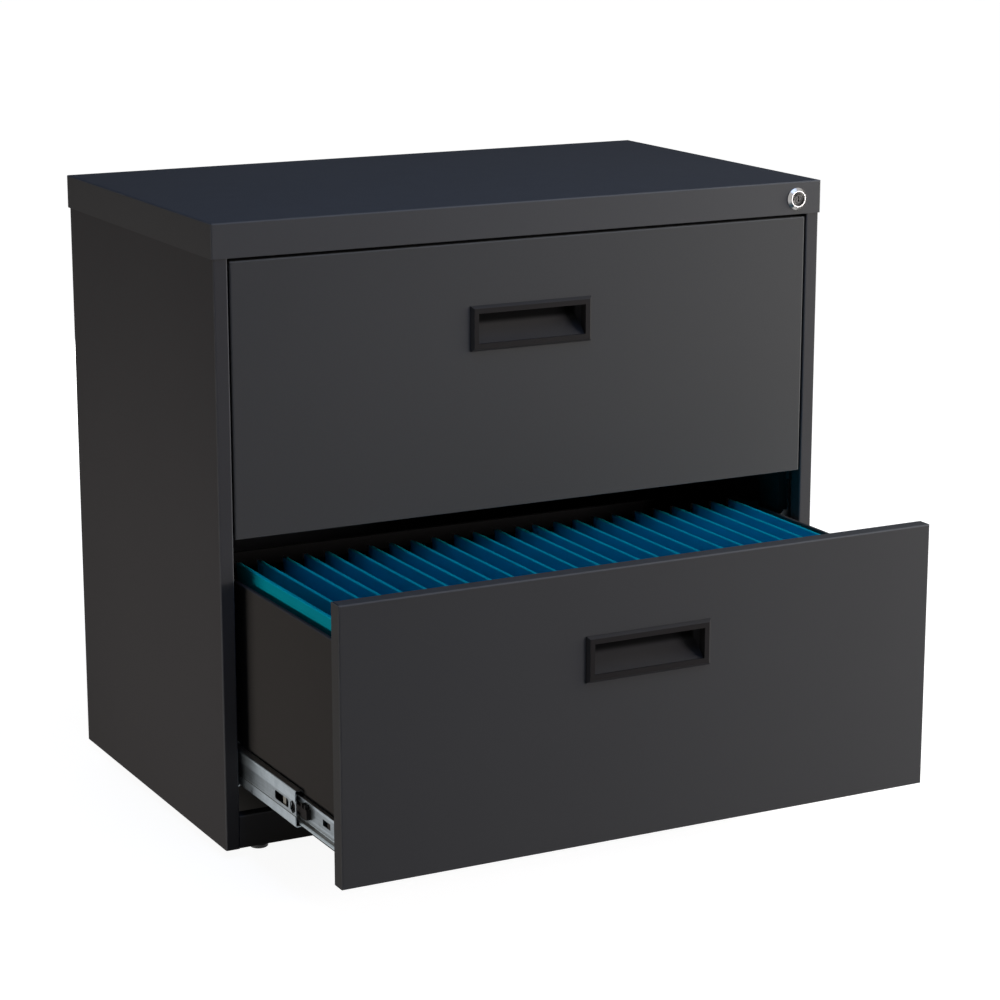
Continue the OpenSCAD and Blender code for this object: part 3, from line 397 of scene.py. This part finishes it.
def rolled_group():
    """Plated strip: streaks along its length, cloudy plating, and oil on upward faces.

    The web of a slide, the band round each slide's axis, gets a painted darker reflection.
    """
    inputs = {
        "Metal": (0.4, 0.4, 0.4),
        "Cloud": (0.25, 0.27, 0.29),
        "Clouding": 0.5,
        "Streaks": 0.25,
        "Roughness": 0.34,
        "Film": (0.17, 0.14, 0.11),
        "Film Amount": 0.0,
        "Web Tone": 1.0,
        "Web Half": 0.008,
        "First Axis": 0.0,
        "Axis Pitch": 1.0,
    }
    group, given, result = new_group("Rolled plate", inputs)
    where = object_coordinates(group)
    streak = noise(group, drawn_out(group, where, STREAK_RUN), *STREAK)
    cloud = noise(group, where, *CLOUD)
    clouded = maths(group, "MULTIPLY", remap(group, cloud, *CLOUDY), given["Clouding"])
    plated = mix(group, clouded, given["Metal"], given["Cloud"])
    filmed = maths(group, "MULTIPLY", facing_up(group), given["Film Amount"])
    oiled = mix(group, filmed, plated, given["Film"])
    above = maths(group, "SUBTRACT", parts_of(group, where)[2], given["First Axis"])
    half_pitch = maths(group, "MULTIPLY", given["Axis Pitch"], 0.5)
    off_axis = maths(group, "PINGPONG", above, half_pitch)
    fade = maths(group, "MULTIPLY", given["Web Half"], WEB_FADE)
    web = remap(group, off_axis, given["Web Half"], fade)
    # Darken the band round each axis: a painted darker reflection.
    reflection_shaded = tone_under(group, web, given["Web Tone"])
    streaked = stray(group, streak, given["Streaks"], reflection_shaded)
    spangle = cells(group, where, SPANGLE)
    tone = maths(group, "MULTIPLY_ADD", spangle, SPANGLE_TONE, streaked)
    give(
        group,
        result,
        Color=scaled(group, oiled, tone),
        Roughness=stray(group, cloud, CLOUD_GLOSS, given["Roughness"]),
        Height=streak,
    )
    return group


def moulded_group():
    """Moulded plastic: spark texture, flow marks, rubbed corners and painted shade in a hollow."""
    inputs = {
        "Plastic": (0.02, 0.02, 0.02),
        "Rubbed": (0.05, 0.05, 0.052),
        "Rub Amount": 0.4,
        "Roughness": 0.5,
        "Mouth": 0.0,
        "Grime Tone": 1.0,
    }
    group, given, result = new_group("Moulded plastic", inputs)
    where = object_coordinates(group)
    flow = noise(group, where, *FLOW)
    worn = maths(group, "MULTIPLY", fold_mask(group), given["Rub Amount"])
    rubbed = mix(group, worn, given["Plastic"], given["Rubbed"])
    depth = maths(group, "SUBTRACT", parts_of(group, where)[1], given["Mouth"])
    hollow_shaded = tone_under(group, remap(group, depth, *HOLLOW_SHADE_DEPTHS), given["Grime Tone"])
    give(
        group,
        result,
        Color=scaled(group, rubbed, stray(group, flow, FLOW_TONE, hollow_shaded)),
        Roughness=stray(group, flow, FLOW_GLOSS, given["Roughness"]),
        Height=cells(group, where, SPARK),
    )
    return group


def card_group():
    """Card stock: fibres, faint patches, and a painted highlight along the fold at the top."""
    inputs = {
        "Card": (0.0, 0.1, 0.2),
        "Top Highlight": (0.0, 0.25, 0.27),
        "Top Highlight From": 0.3,
        "Top Highlight To": 0.31,
        "Fibre": 0.2,
    }
    group, given, result = new_group("Card stock", inputs)
    where = object_coordinates(group)
    fibre = noise(group, drawn_out(group, where, FIBRE_RUN), *FIBRE)
    top_highlight = remap(group, parts_of(group, where)[2], given["Top Highlight From"], given["Top Highlight To"])
    card_and_highlight = mix(group, top_highlight, given["Card"], given["Top Highlight"])
    fibrous = stray(group, fibre, given["Fibre"], 1.0)
    tone = stray(group, noise(group, where, *PATCH), PATCH_TONE, fibrous)
    give(
        group,
        result,
        Color=scaled(group, card_and_highlight, tone),
        Roughness=remap(group, fibre, *CARD_ROUGHNESS),
        Height=fibre,
    )
    return group


# ---- Materials ----------------------------------------------------------------------------

# Folds sharper than this stay sharp when the rounds are shaded smooth.
SHARP = math.radians(28)


def toned(base, share):
    """A darker shade of a colour: each of its parts times a share."""
    return tuple(share * part for part in base)


def finish(name, group, values, bump=0.1, bump_depth=0.0001, **shader_values):
    """A material whose colour, roughness and bump come from one node group."""
    material = bpy.data.materials.new(name)
    material.use_nodes = True
    tree = material.node_tree
    shader = tree.nodes["Principled BSDF"]
    effect = add(tree, "ShaderNodeGroup", node_tree=group)
    for label, value in values.items():
        effect.inputs[label].default_value = (*value, 1.0) if hasattr(value, "__len__") else value
    tree.links.new(effect.outputs["Color"], shader.inputs["Base Color"])
    tree.links.new(effect.outputs["Roughness"], shader.inputs["Roughness"])
    sockets = {"Height": effect.outputs["Height"], "Strength": bump, "Distance": bump_depth}
    relief = add(tree, "ShaderNodeBump", sockets)
    tree.links.new(relief.outputs["Normal"], shader.inputs["Normal"])
    for label, value in shader_values.items():
        shader.inputs[label.replace("_", " ")].default_value = value
    return material


def painted(name, group, paint, looks, **extra):
    """A powder-coated surface in one colour."""
    values = {"Paint": paint, "Edge": looks.edge_wear_and_highlight_paint, "Dust": looks.dust}
    values.update(extra)
    relief = {"bump": 0.25, "bump_depth": 0.00006}
    return finish(name, group, values, **relief, Specular_IOR_Level=0.0005)


def dress(material, *nodes):
    """Give CAD nodes a material, and shade their rounds smooth up to the sharp edges."""
    for name in nodes:
        piece = frame["nodes"][name]
        piece.data.materials.clear()
        piece.data.materials.append(material)
        piece.data.polygons.foreach_set("use_smooth", [True] * len(piece.data.polygons))
        split = piece.modifiers.new("Sharp edges", "EDGE_SPLIT")
        split.split_angle = SHARP


def nodes_in(*slots):
    """Names of the CAD nodes whose finish is one of these slots."""
    return [name for name, slot in SLOT_OF.items() if slot in slots]


# ---- Mesh helpers -------------------------------------------------------------------------

# Vertices nearer than this, in metres, are one.
SAME_PLACE = 1e-6


def solids_of(node):
    """Lowest and highest corner of each separate solid in a CAD node, from left to right."""
    mesh = bmesh.new()
    mesh.from_mesh(frame["nodes"][node].data)
    bmesh.ops.remove_doubles(mesh, verts=mesh.verts, dist=SAME_PLACE)
    left = set(mesh.verts)
    boxes = []
    while left:
        todo = [left.pop()]
        found = []
        while todo:
            vertex = todo.pop()
            found.append(vertex.co.copy())
            near = {edge.other_vert(vertex) for edge in vertex.link_edges} & left
            left -= near
            todo.extend(near)
        low = Vector(min(point[i] for point in found) for i in range(3))
        high = Vector(max(point[i] for point in found) for i in range(3))
        boxes.append((low, high))
    mesh.free()
    return sorted(boxes, key=lambda box: box[0].x)


def new_piece(name, mesh, body, material):
    """Turn a bmesh into a piece that rides on a body."""
    data = bpy.data.meshes.new(name)
    mesh.to_mesh(data)
    mesh.free()
    piece = bpy.data.objects.new(name, data)
    bpy.context.scene.collection.objects.link(piece)
    data.materials.append(material)
    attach(piece, body)
    return piece


# ---- Lock face ----------------------------------------------------------------------------

# Radius of each ring on the lock's face and its depth behind the bezel's front, in millimetres.
FACE_RINGS = (
    (8.3, 0.95),
    (8.3, 0.6),
    (7.3, 0.5),
    (7.0, 0.2),
    (6.4, 0.2),
    (6.1, 0.65),
    (5.2, 0.65),
    (5.0, 0.25),
)
FACE_STEPS = 48
# Half the keyway's width, half its height, and its depth.
KEYWAY = (0.7 * MM, 3.3 * MM, 2.5 * MM)
# X and Z of each pin from the lock's axis, and its rings, in millimetres.
PIN_PLACES = ((2.9, 1.9), (2.9, -1.9), (-2.9, 0.0))
PIN_RINGS = ((0.75, 0.25), (0.45, 0.02))
PIN_STEPS = 12


def ring_of(mesh, centre, radius, depth, steps):
    """An upright ring of vertices, its radius and depth in millimetres from the centre."""
    ring = []
    for k in range(steps):
        angle = 2 * math.pi * k / steps
        reach = Vector((radius * math.cos(angle), depth, radius * math.sin(angle)))
        ring.append(mesh.verts.new(centre + reach * MM))
    return ring


def bridge(mesh, outer, inner):
    """Faces between two rings."""
    for k in range(len(outer)):
        following = (k + 1) % len(outer)
        mesh.faces.new((outer[k], outer[following], inner[following], inner[k])).smooth = True


def lock_face_mesh(centre):
    """Stepped rings round a plug with a keyway and three pins."""
    mesh = bmesh.new()
    rings = [ring_of(mesh, centre, *ring, FACE_STEPS) for ring in FACE_RINGS]
    for outer, inner in zip(rings, rings[1:]):
        bridge(mesh, outer, inner)
    plug_radius, plug_depth = (size * MM for size in FACE_RINGS[-1])
    half_width, half_height, slot_depth = KEYWAY

    def on_plug(x, z):
        return centre + Vector((x, plug_depth, z))

    def face(points):
        mesh.faces.new([mesh.verts.new(point) for point in points])

    for side in (-1, 1):
        x = side * half_width
        arc = [v.co.copy() for v in rings[-1] if side * (v.co.x - centre.x) > half_width]
        arc.sort(key=lambda point: math.atan2(point.z - centre.z, side * (point.x - centre.x)))
        ends = [on_plug(x, arc[-1].z - centre.z), on_plug(x, arc[0].z - centre.z)]
        edge = [on_plug(x, half_height), on_plug(x, -half_height)]
        outline = [*arc, ends[0], *edge, ends[1]]
        face(outline if side > 0 else outline[::-1])
        face([*edge, *(point + Vector((0, slot_depth, 0)) for point in reversed(edge))])
    for end in (-1, 1):
        near, far = end * half_height, end * plug_radius
        corners = ((-half_width, near), (half_width, near), (half_width, far), (-half_width, far))
        face([on_plug(x, z) for x, z in corners])
    for x, z in PIN_PLACES:
        pin = centre + Vector((x, 0, z)) * MM
        outer, inner = (ring_of(mesh, pin, *ring, PIN_STEPS) for ring in PIN_RINGS)
        bridge(mesh, outer, inner)
        mesh.faces.new(inner)
    bmesh.ops.recalc_face_normals(mesh, faces=mesh.faces)
    return mesh


# ---- Folders ------------------------------------------------------------------------------

# How far the card turns down inside a leaf, and how far its mid-planes are apart there.
HEM_DEPTH = 14 * MM
HEM_GAP = 1.9 * MM
HEM_STEPS = 4
# How far below a folder's top the painted highlight along the fold begins, and where it is full.
TOP_HIGHLIGHT_FADE = (1.6 * MM, 0.5 * MM)
LEAF_ROWS = 10
LEAF_COLUMNS = 16
# Each leaf closes in by the folder's width divided by this.
LEAF_TAPER = 6
# A leaf's bulge dies out a little above the bottom fold.
BULGE_REACH = 1.05
# Least share of the sag that a folder has, and share of it that is left at a leaf's ends.
LEAST_SAG = 0.4
END_SAG = 0.35


def folder_section(low, high, sheet):
    """X, Z and free bulge at points across a folder, from one inner hem to the other."""
    half = sheet / 2
    width = high.x - low.x
    taper = width / LEAF_TAPER
    radius = HEM_GAP / 2
    left, right = low.x + half, high.x - half
    top, bottom = high.z - half, low.z + half
    path = []
    for side, outer in ((1, left), (-1, right)):
        centre = outer + side * radius
        crown = top - radius
        inner = centre + side * radius
        leaf = [(inner, crown - HEM_DEPTH, 0.0), (inner, crown, 0.0)]
        for step in range(1, HEM_STEPS):
            angle = math.pi * step / HEM_STEPS
            x = centre + side * radius * math.cos(angle)
            leaf.append((x, crown + radius * math.sin(angle), 0.0))
        for row in range(LEAF_ROWS + 1):
            share = row / LEAF_ROWS
            z = crown - share * (crown - bottom - taper)
            free = math.sin(math.pi * min(1.0, share * BULGE_REACH)) * -side
            leaf.append((outer + side * taper * share, z, free))
        path.append(leaf)
    fold = [((low.x + high.x) / 2, bottom, 0.0)]
    return path[0] + fold + path[1][::-1]


def folder_mesh(mesh, low, high, looks, chance):
    """Add one hanging folder: a sheet folded over both hanger bars, slightly bowed."""
    section = folder_section(low, high, looks.sheet)
    bow = chance.uniform(-1, 1) * looks.bow
    sag = chance.uniform(LEAST_SAG, 1) * looks.sag
    rows = []
    for column in range(LEAF_COLUMNS + 1):
        along = column / LEAF_COLUMNS
        curve = math.sin(math.pi * along)
        y = low.y + along * (high.y - low.y)
        shift = bow * curve
        bulge = sag * (END_SAG + (1 - END_SAG) * curve)
        row = [mesh.verts.new((x + shift + free * bulge, y, z)) for x, z, free in section]
        rows.append(row)
    for back, front in zip(rows, rows[1:]):
        for k in range(len(section) - 1):
            mesh.faces.new((back[k], back[k + 1], front[k + 1], front[k])).smooth = True


# ---- Operators ----------------------------------------------------------------------------

LEVELS = ("lower", "upper")


class CABINET_OT_finish_case(bpy.types.Operator):
    """Powder-coat the case, its base, the drawers and the hang rails"""

    bl_idname = "cabinet.finish_case"
    bl_label = "Finish case"

    def execute(self, context):
        looks = context.scene.cabinet_finish
        powder = powder_group()
        little_edge_wear_and_highlight = {"Edge Amount": 0.2}
        case = painted("case_paint", powder, looks.case_paint, looks)
        dress(case, *(name for name in nodes_in("case_paint") if name != "top_cap"))
        dress(painted("cap_paint", powder, looks.cap_paint, looks), "top_cap")
        wells = [level + piece for level in LEVELS for piece in ("_drawer_tray", "_hang_rails")]
        inner = painted("inner_paint", powder, looks.inner_paint, looks, **little_edge_wear_and_highlight)
        dress(inner, *(name for name in nodes_in("inner_paint") if name not in wells))
        # Trays and hang rails get the inner paint at 0.3 of its value: painted shade deep in the
        # case.
        shaded_well_paint = toned(looks.inner_paint, 0.3)
        dress(painted("shaded_well_paint", powder, shaded_well_paint, looks, **little_edge_wear_and_highlight), *wells)
        front = painted("front_paint", powder, looks.front_paint, looks)
        dress(front, *nodes_in("front_paint"))
        iron = painted("weight_iron", powder, looks.iron, looks, Mottle=0.3, Peel=3.0)
        dress(iron, *nodes_in("weight_iron"))
        return {"FINISHED"}


class CABINET_OT_finish_slides(bpy.types.Operator):
    """Plate the slides, cages, balls, lock bar, hanger bars and fasteners"""

    bl_idname = "cabinet.finish_slides"
    bl_label = "Finish slides"

    def execute(self, context):
        looks = context.scene.cabinet_finish
        rolled = rolled_group()
        rails = [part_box(level + "_left_drawer_rail") for level in LEVELS]
        axes = [(low.z + high.z) / 2 for low, high in rails]
        zinc = {
            "Metal": looks.zinc,
            "Cloud": toned(looks.zinc, 0.66),
            "Streaks": 0.5,
            "Film": looks.oil_film,
            "Film Amount": 0.7,
            # Darker web round each slide's axis: a painted reflection.
            "Web Tone": 0.62,
            "First Axis": axes[0],
            "Axis Pitch": axes[1] - axes[0],
        }
        plate = finish("zinc", rolled, zinc, bump=0.12, Metallic=1.0)
        dress(plate, *nodes_in("zinc"))
        steel = {
            "Metal": toned(looks.zinc, 0.9),
            "Cloud": toned(looks.zinc, 0.5),
            "Clouding": 0.3,
        }
        strip = finish("bar_steel", rolled, steel, bump=0.15, Metallic=1.0)
        dress(strip, *nodes_in("bar_steel", "screw_steel", "hanger_steel"))
        yellow = {
            "Metal": looks.cage_zinc,
            "Cloud": toned(looks.cage_zinc, 0.6),
            "Clouding": 0.7,
        }
        cage = finish("cage_steel", rolled, yellow, bump=0.08, Metallic=1.0)
        dress(cage, *nodes_in("cage_steel"))
        bright = {
            "Metal": (0.8, 0.81, 0.82),
            "Cloud": (0.6, 0.6, 0.6),
            "Clouding": 0.15,
            "Roughness": 0.1,
        }
        ball = finish("ball_steel", rolled, bright, bump=0.02, Metallic=1.0)
        dress(ball, *nodes_in("ball_steel"))
        return {"FINISHED"}


class CABINET_OT_finish_lock(bpy.types.Operator):
    """Plate the lock's ring and core, and add the lock's face"""

    bl_idname = "cabinet.finish_lock"
    bl_label = "Finish lock"

    def execute(self, context):
        looks = context.scene.cabinet_finish
        rolled = bpy.data.node_groups["Rolled plate"]
        bright = {
            "Metal": looks.nickel,
            "Cloud": toned(looks.nickel, 0.7),
            "Clouding": 0.2,
            "Roughness": 0.28,
        }
        ring = finish("lock_nickel", rolled, bright, bump=0.04, Metallic=1.0)
        dress(ring, *nodes_in("lock_nickel"))
        # The core and face get a nearly black plate: a painted dark reflection.
        painted_dark_reflection = {
            "Metal": toned(looks.nickel, 0.1),
            "Cloud": (0.008, 0.008, 0.008),
            "Clouding": 0.9,
        }
        core = finish("core_nickel", rolled, painted_dark_reflection, bump=0.08, Metallic=1.0)
        dress(core, *nodes_in("core_nickel"))
        low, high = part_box("lock_core")
        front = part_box("lock_housing")[0].y
        centre = Vector(((low.x + high.x) / 2, front, (low.z + high.z) / 2))
        new_piece("lock_face", lock_face_mesh(centre), "lock_core", core)
        return {"FINISHED"}


class CABINET_OT_finish_plastics(bpy.types.Operator):
    """Give the pulls, release levers and glides their moulded texture"""

    bl_idname = "cabinet.finish_plastics"
    bl_label = "Finish plastics"

    def execute(self, context):
        looks = context.scene.cabinet_finish
        moulded = moulded_group()
        black = {"Plastic": looks.plastic, "Roughness": 0.6}
        shader = {"bump": 0.12, "bump_depth": 0.00005, "Specular_IOR_Level": 0.02}
        levers = finish("black_plastic", moulded, black, **shader)
        dress(levers, "upper_release_levers", "lower_release_levers")
        for name in ("upper_pull", "lower_pull"):
            # Deep in each pull's cup the plastic goes nearly black: painted shade under the top
            # bar.
            hollow = {"Mouth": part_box(name)[0].y, "Grime Tone": 0.04}
            dress(finish(name + "_plastic", moulded, {**black, **hollow}, **shader), name)
        foot = {"Plastic": toned(looks.plastic, 0.6), "Roughness": 0.45}
        glide = finish("glide_plastic", moulded, foot, bump=0.1, Specular_IOR_Level=0.3)
        dress(glide, *nodes_in("glide_plastic"))
        return {"FINISHED"}


class CABINET_OT_hang_folders(bpy.types.Operator):
    """Hang the card folders in the open drawer"""

    bl_idname = "cabinet.hang_folders"
    bl_label = "Hang folders"

    def execute(self, context):
        looks = context.scene.folder_finish
        boxes = solids_of("hanging_folders")
        top = boxes[0][1].z
        group = card_group()
        highlight_from, highlight_to = (top - drop for drop in TOP_HIGHLIGHT_FADE)
        edge = {"Top Highlight": looks.top_highlight, "Top Highlight From": highlight_from, "Top Highlight To": highlight_to}
        shader = {"bump": 0.1, "Specular_IOR_Level": 0.02}
        card = finish("folder_card", group, {"Card": looks.card, **edge}, **shader)
        lit_first = finish("lit_first_folder_card", group, {"Card": looks.lit_first_card, **edge}, **shader)
        chance = random.Random(looks.seed)
        lots = (("first_folder", boxes[:1], lit_first), ("other_folders", boxes[1:], card))
        for name, some, material in lots:
            mesh = bmesh.new()
            for low, high in some:
                folder_mesh(mesh, low, high, looks, chance)
            piece = new_piece(name, mesh, "lower_drawer", material)
            thick = piece.modifiers.new("Card", "SOLIDIFY")
            thick.thickness = looks.sheet
            thick.offset = 0.0
            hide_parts("hanging_folders")
        return {"FINISHED"}


# Distances from the stage's middle between which the floor brightens, and how white it reads.
GLOW_REACH = (0.5, 1.6)
GLOW_STRENGTH = (0.93, 1.0)
# How far inside the case's sides the floor stops glowing, painting a shadow under the case: left,
# front, and right and back.
GLOW_INSET_LEFT = 0.022
GLOW_INSET_FRONT = 0.040
GLOW_INSET = 0.004

# Power in watts, sizes and places in metres.
LAMPS = (
    {
        "name": "key",
        "place": (1.5, -0.6, 0.8),
        "target": (0.3, -0.09, 0.5),
        "size": (0.7, 0.7),
        "power": 23.0,
        "tint": (1.0, 0.98, 0.84),
    },
    {
        "name": "front_fill",
        "place": (2.2, -1.9, 0.7),
        "target": (0.2, -0.2, 0.4),
        "size": (0.8, 0.5),
        "power": 61.0,
        "tint": (1.0, 0.96, 0.99),
    },
    {
        "name": "side_fill",
        "place": (-1.4, 0.03, 0.08),
        "target": (-0.38, 0.03, 0.07),
        "size": (1.2, 0.16),
        "power": 8.2,
        "tint": (1.0, 0.94, 0.87),
    },
    {
        "name": "top",
        "place": (0.1, -0.7, 2.5),
        "target": (0.0, -0.2, 0.5),
        "size": (1.6, 1.6),
        "power": 22.0,
        "tint": (0.41, 0.58, 0.98),
    },
    {
        "name": "back_fill",
        "place": (0.3, 3.0, 0.3),
        "target": (0.0, 0.3, 0.35),
        "size": (1.8, 0.5),
        "power": 60.0,
        "tint": (1.0, 1.0, 1.0),
    },
)


class CABINET_OT_set_stage(bpy.types.Operator):
    """Set up the floor, world, lamps and camera"""

    bl_idname = "cabinet.set_stage"
    bl_label = "Set stage"

    def execute(self, context):
        scene = context.scene
        stage = scene.cabinet_stage
        scene.view_settings.view_transform = "Standard"
        self.make_world(scene, stage)
        self.make_floor(stage)
        for lamp in LAMPS:
            self.make_lamp(**lamp)
        self.make_camera(scene, stage)
        return {"FINISHED"}

    def make_world(self, scene, stage):
        """White where the camera, gloss and glass look, and a plain light elsewhere."""
        scene.world = bpy.data.worlds.new("Studio")
        scene.world.use_nodes = True
        tree = scene.world.node_tree
        sky = tree.nodes["Background"]
        sky.inputs["Color"].default_value = (1.0, 1.0, 1.0, 1.0)
        strength = maths(tree, "MAXIMUM", seen_rays(tree), stage.ambient)
        tree.links.new(strength, sky.inputs["Strength"])

    def make_floor(self, stage):
        """A pale floor that keeps a soft shadow, and a painted shadow under the case."""
        half = stage.floor_size / 2
        mesh = bmesh.new()
        corners = ((-half, -half), (half, -half), (half, half), (-half, half))
        mesh.faces.new([mesh.verts.new((x, y, CAD_LOW.z)) for x, y in corners])
        data = bpy.data.meshes.new("floor")
        mesh.to_mesh(data)
        mesh.free()
        floor = bpy.data.objects.new("floor", data)
        bpy.context.scene.collection.objects.link(floor)
        material = bpy.data.materials.new("pale_floor")
        material.use_nodes = True
        tree = material.node_tree
        shader = tree.nodes["Principled BSDF"]
        shader.inputs["Base Color"].default_value = (*(stage.floor_tone,) * 3, 1.0)
        shader.inputs["Roughness"].default_value = 1.0
        shader.inputs["Specular IOR Level"].default_value = 0.0
        shader.inputs["Emission Color"].default_value = (1.0, 1.0, 1.0, 1.0)
        glow = maths(tree, "MULTIPLY", seen_rays(tree), self.floor_glow_and_shadow(tree))
        tree.links.new(glow, shader.inputs["Emission Strength"])
        data.materials.append(material)

    def floor_glow_and_shadow(self, tree):
        """How white the floor reads: a little less near the cabinet, and not at all under it, which
        paints a shadow there.
        """
        case_low, case_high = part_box("kick_panel")[0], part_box("back_panel")[1]
        where = object_coordinates(tree)
        far = add(tree, "ShaderNodeVectorMath", {0: where}, operation="LENGTH").outputs["Value"]
        glow = remap(tree, far, *GLOW_REACH, *GLOW_STRENGTH)
        across, deep, _ = parts_of(tree, where)
        left = maths(tree, "LESS_THAN", across, GLOW_INSET_LEFT - case_high.x)
        right = maths(tree, "GREATER_THAN", across, case_high.x - GLOW_INSET)
        ahead = maths(tree, "LESS_THAN", deep, case_low.y + GLOW_INSET_FRONT)
        behind = maths(tree, "GREATER_THAN", deep, case_high.y - GLOW_INSET)
        beside = maths(tree, "MAXIMUM", left, right)
        outside_painted_shadow = maths(tree, "MAXIMUM", beside, maths(tree, "MAXIMUM", ahead, behind))
        return maths(tree, "MULTIPLY", glow, outside_painted_shadow)

    def make_lamp(self, name, place, target, size, power, tint):
        """An area lamp aimed at a point."""
        data = bpy.data.lights.new(name, "AREA")
        data.shape = "RECTANGLE"
        data.size, data.size_y = size
        data.energy = power
        data.color = tint
        lamp = bpy.data.objects.new(name, data)
        lamp.location = place
        lamp.rotation_euler = (Vector(target) - Vector(place)).to_track_quat("-Z", "Y").to_euler()
        bpy.context.scene.collection.objects.link(lamp)

    def make_camera(self, scene, stage):
        """The main view, from the front and the left."""
        data = bpy.data.cameras.new("camera")
        data.lens = stage.lens
        data.clip_end = 4 * stage.floor_size
        camera = bpy.data.objects.new("camera", data)
        camera.location = stage.place
        camera.rotation_euler = (math.pi / 2 - stage.tilt, 0.0, -stage.turn)
        scene.collection.objects.link(camera)
        scene.camera = camera


class CABINET_PT_tools(bpy.types.Panel):
    """Sidebar panel with the cabinet's steps and settings"""

    bl_label = "Cabinet"
    bl_idname = "CABINET_PT_tools"
    bl_space_type = "VIEW_3D"
    bl_region_type = "UI"
    bl_category = "Cabinet"

    def draw(self, context):
        for step in STEPS:
            self.layout.operator(step.bl_idname)
        for group in SETTINGS:
            settings = getattr(context.scene, group)
            box = self.layout.box()
            for name in settings.bl_rna.properties.keys():
                if name not in {"rna_type", "name"}:
                    box.prop(settings, name)


STEPS = (
    CABINET_OT_finish_case,
    CABINET_OT_finish_slides,
    CABINET_OT_finish_lock,
    CABINET_OT_finish_plastics,
    CABINET_OT_hang_folders,
    CABINET_OT_set_stage,
)
SETTINGS = {
    "cabinet_finish": CabinetFinish,
    "folder_finish": FolderFinish,
    "cabinet_stage": StageSettings,
}


def register():
    """Register the settings, the steps and the panel."""
    for kind in (*SETTINGS.values(), *STEPS, CABINET_PT_tools):
        bpy.utils.register_class(kind)
    for name, kind in SETTINGS.items():
        setattr(bpy.types.Scene, name, PointerProperty(type=kind))


def unregister():
    """Take them away again."""
    for name in SETTINGS:
        delattr(bpy.types.Scene, name)
    for kind in (CABINET_PT_tools, *reversed(STEPS), *SETTINGS.values()):
        bpy.utils.unregister_class(kind)


def main():
    """Run every step in order."""
    register()
    for step in STEPS:
        group, name = step.bl_idname.split(".")
        getattr(getattr(bpy.ops, group), name)()


if __name__ == "__main__":
    main()
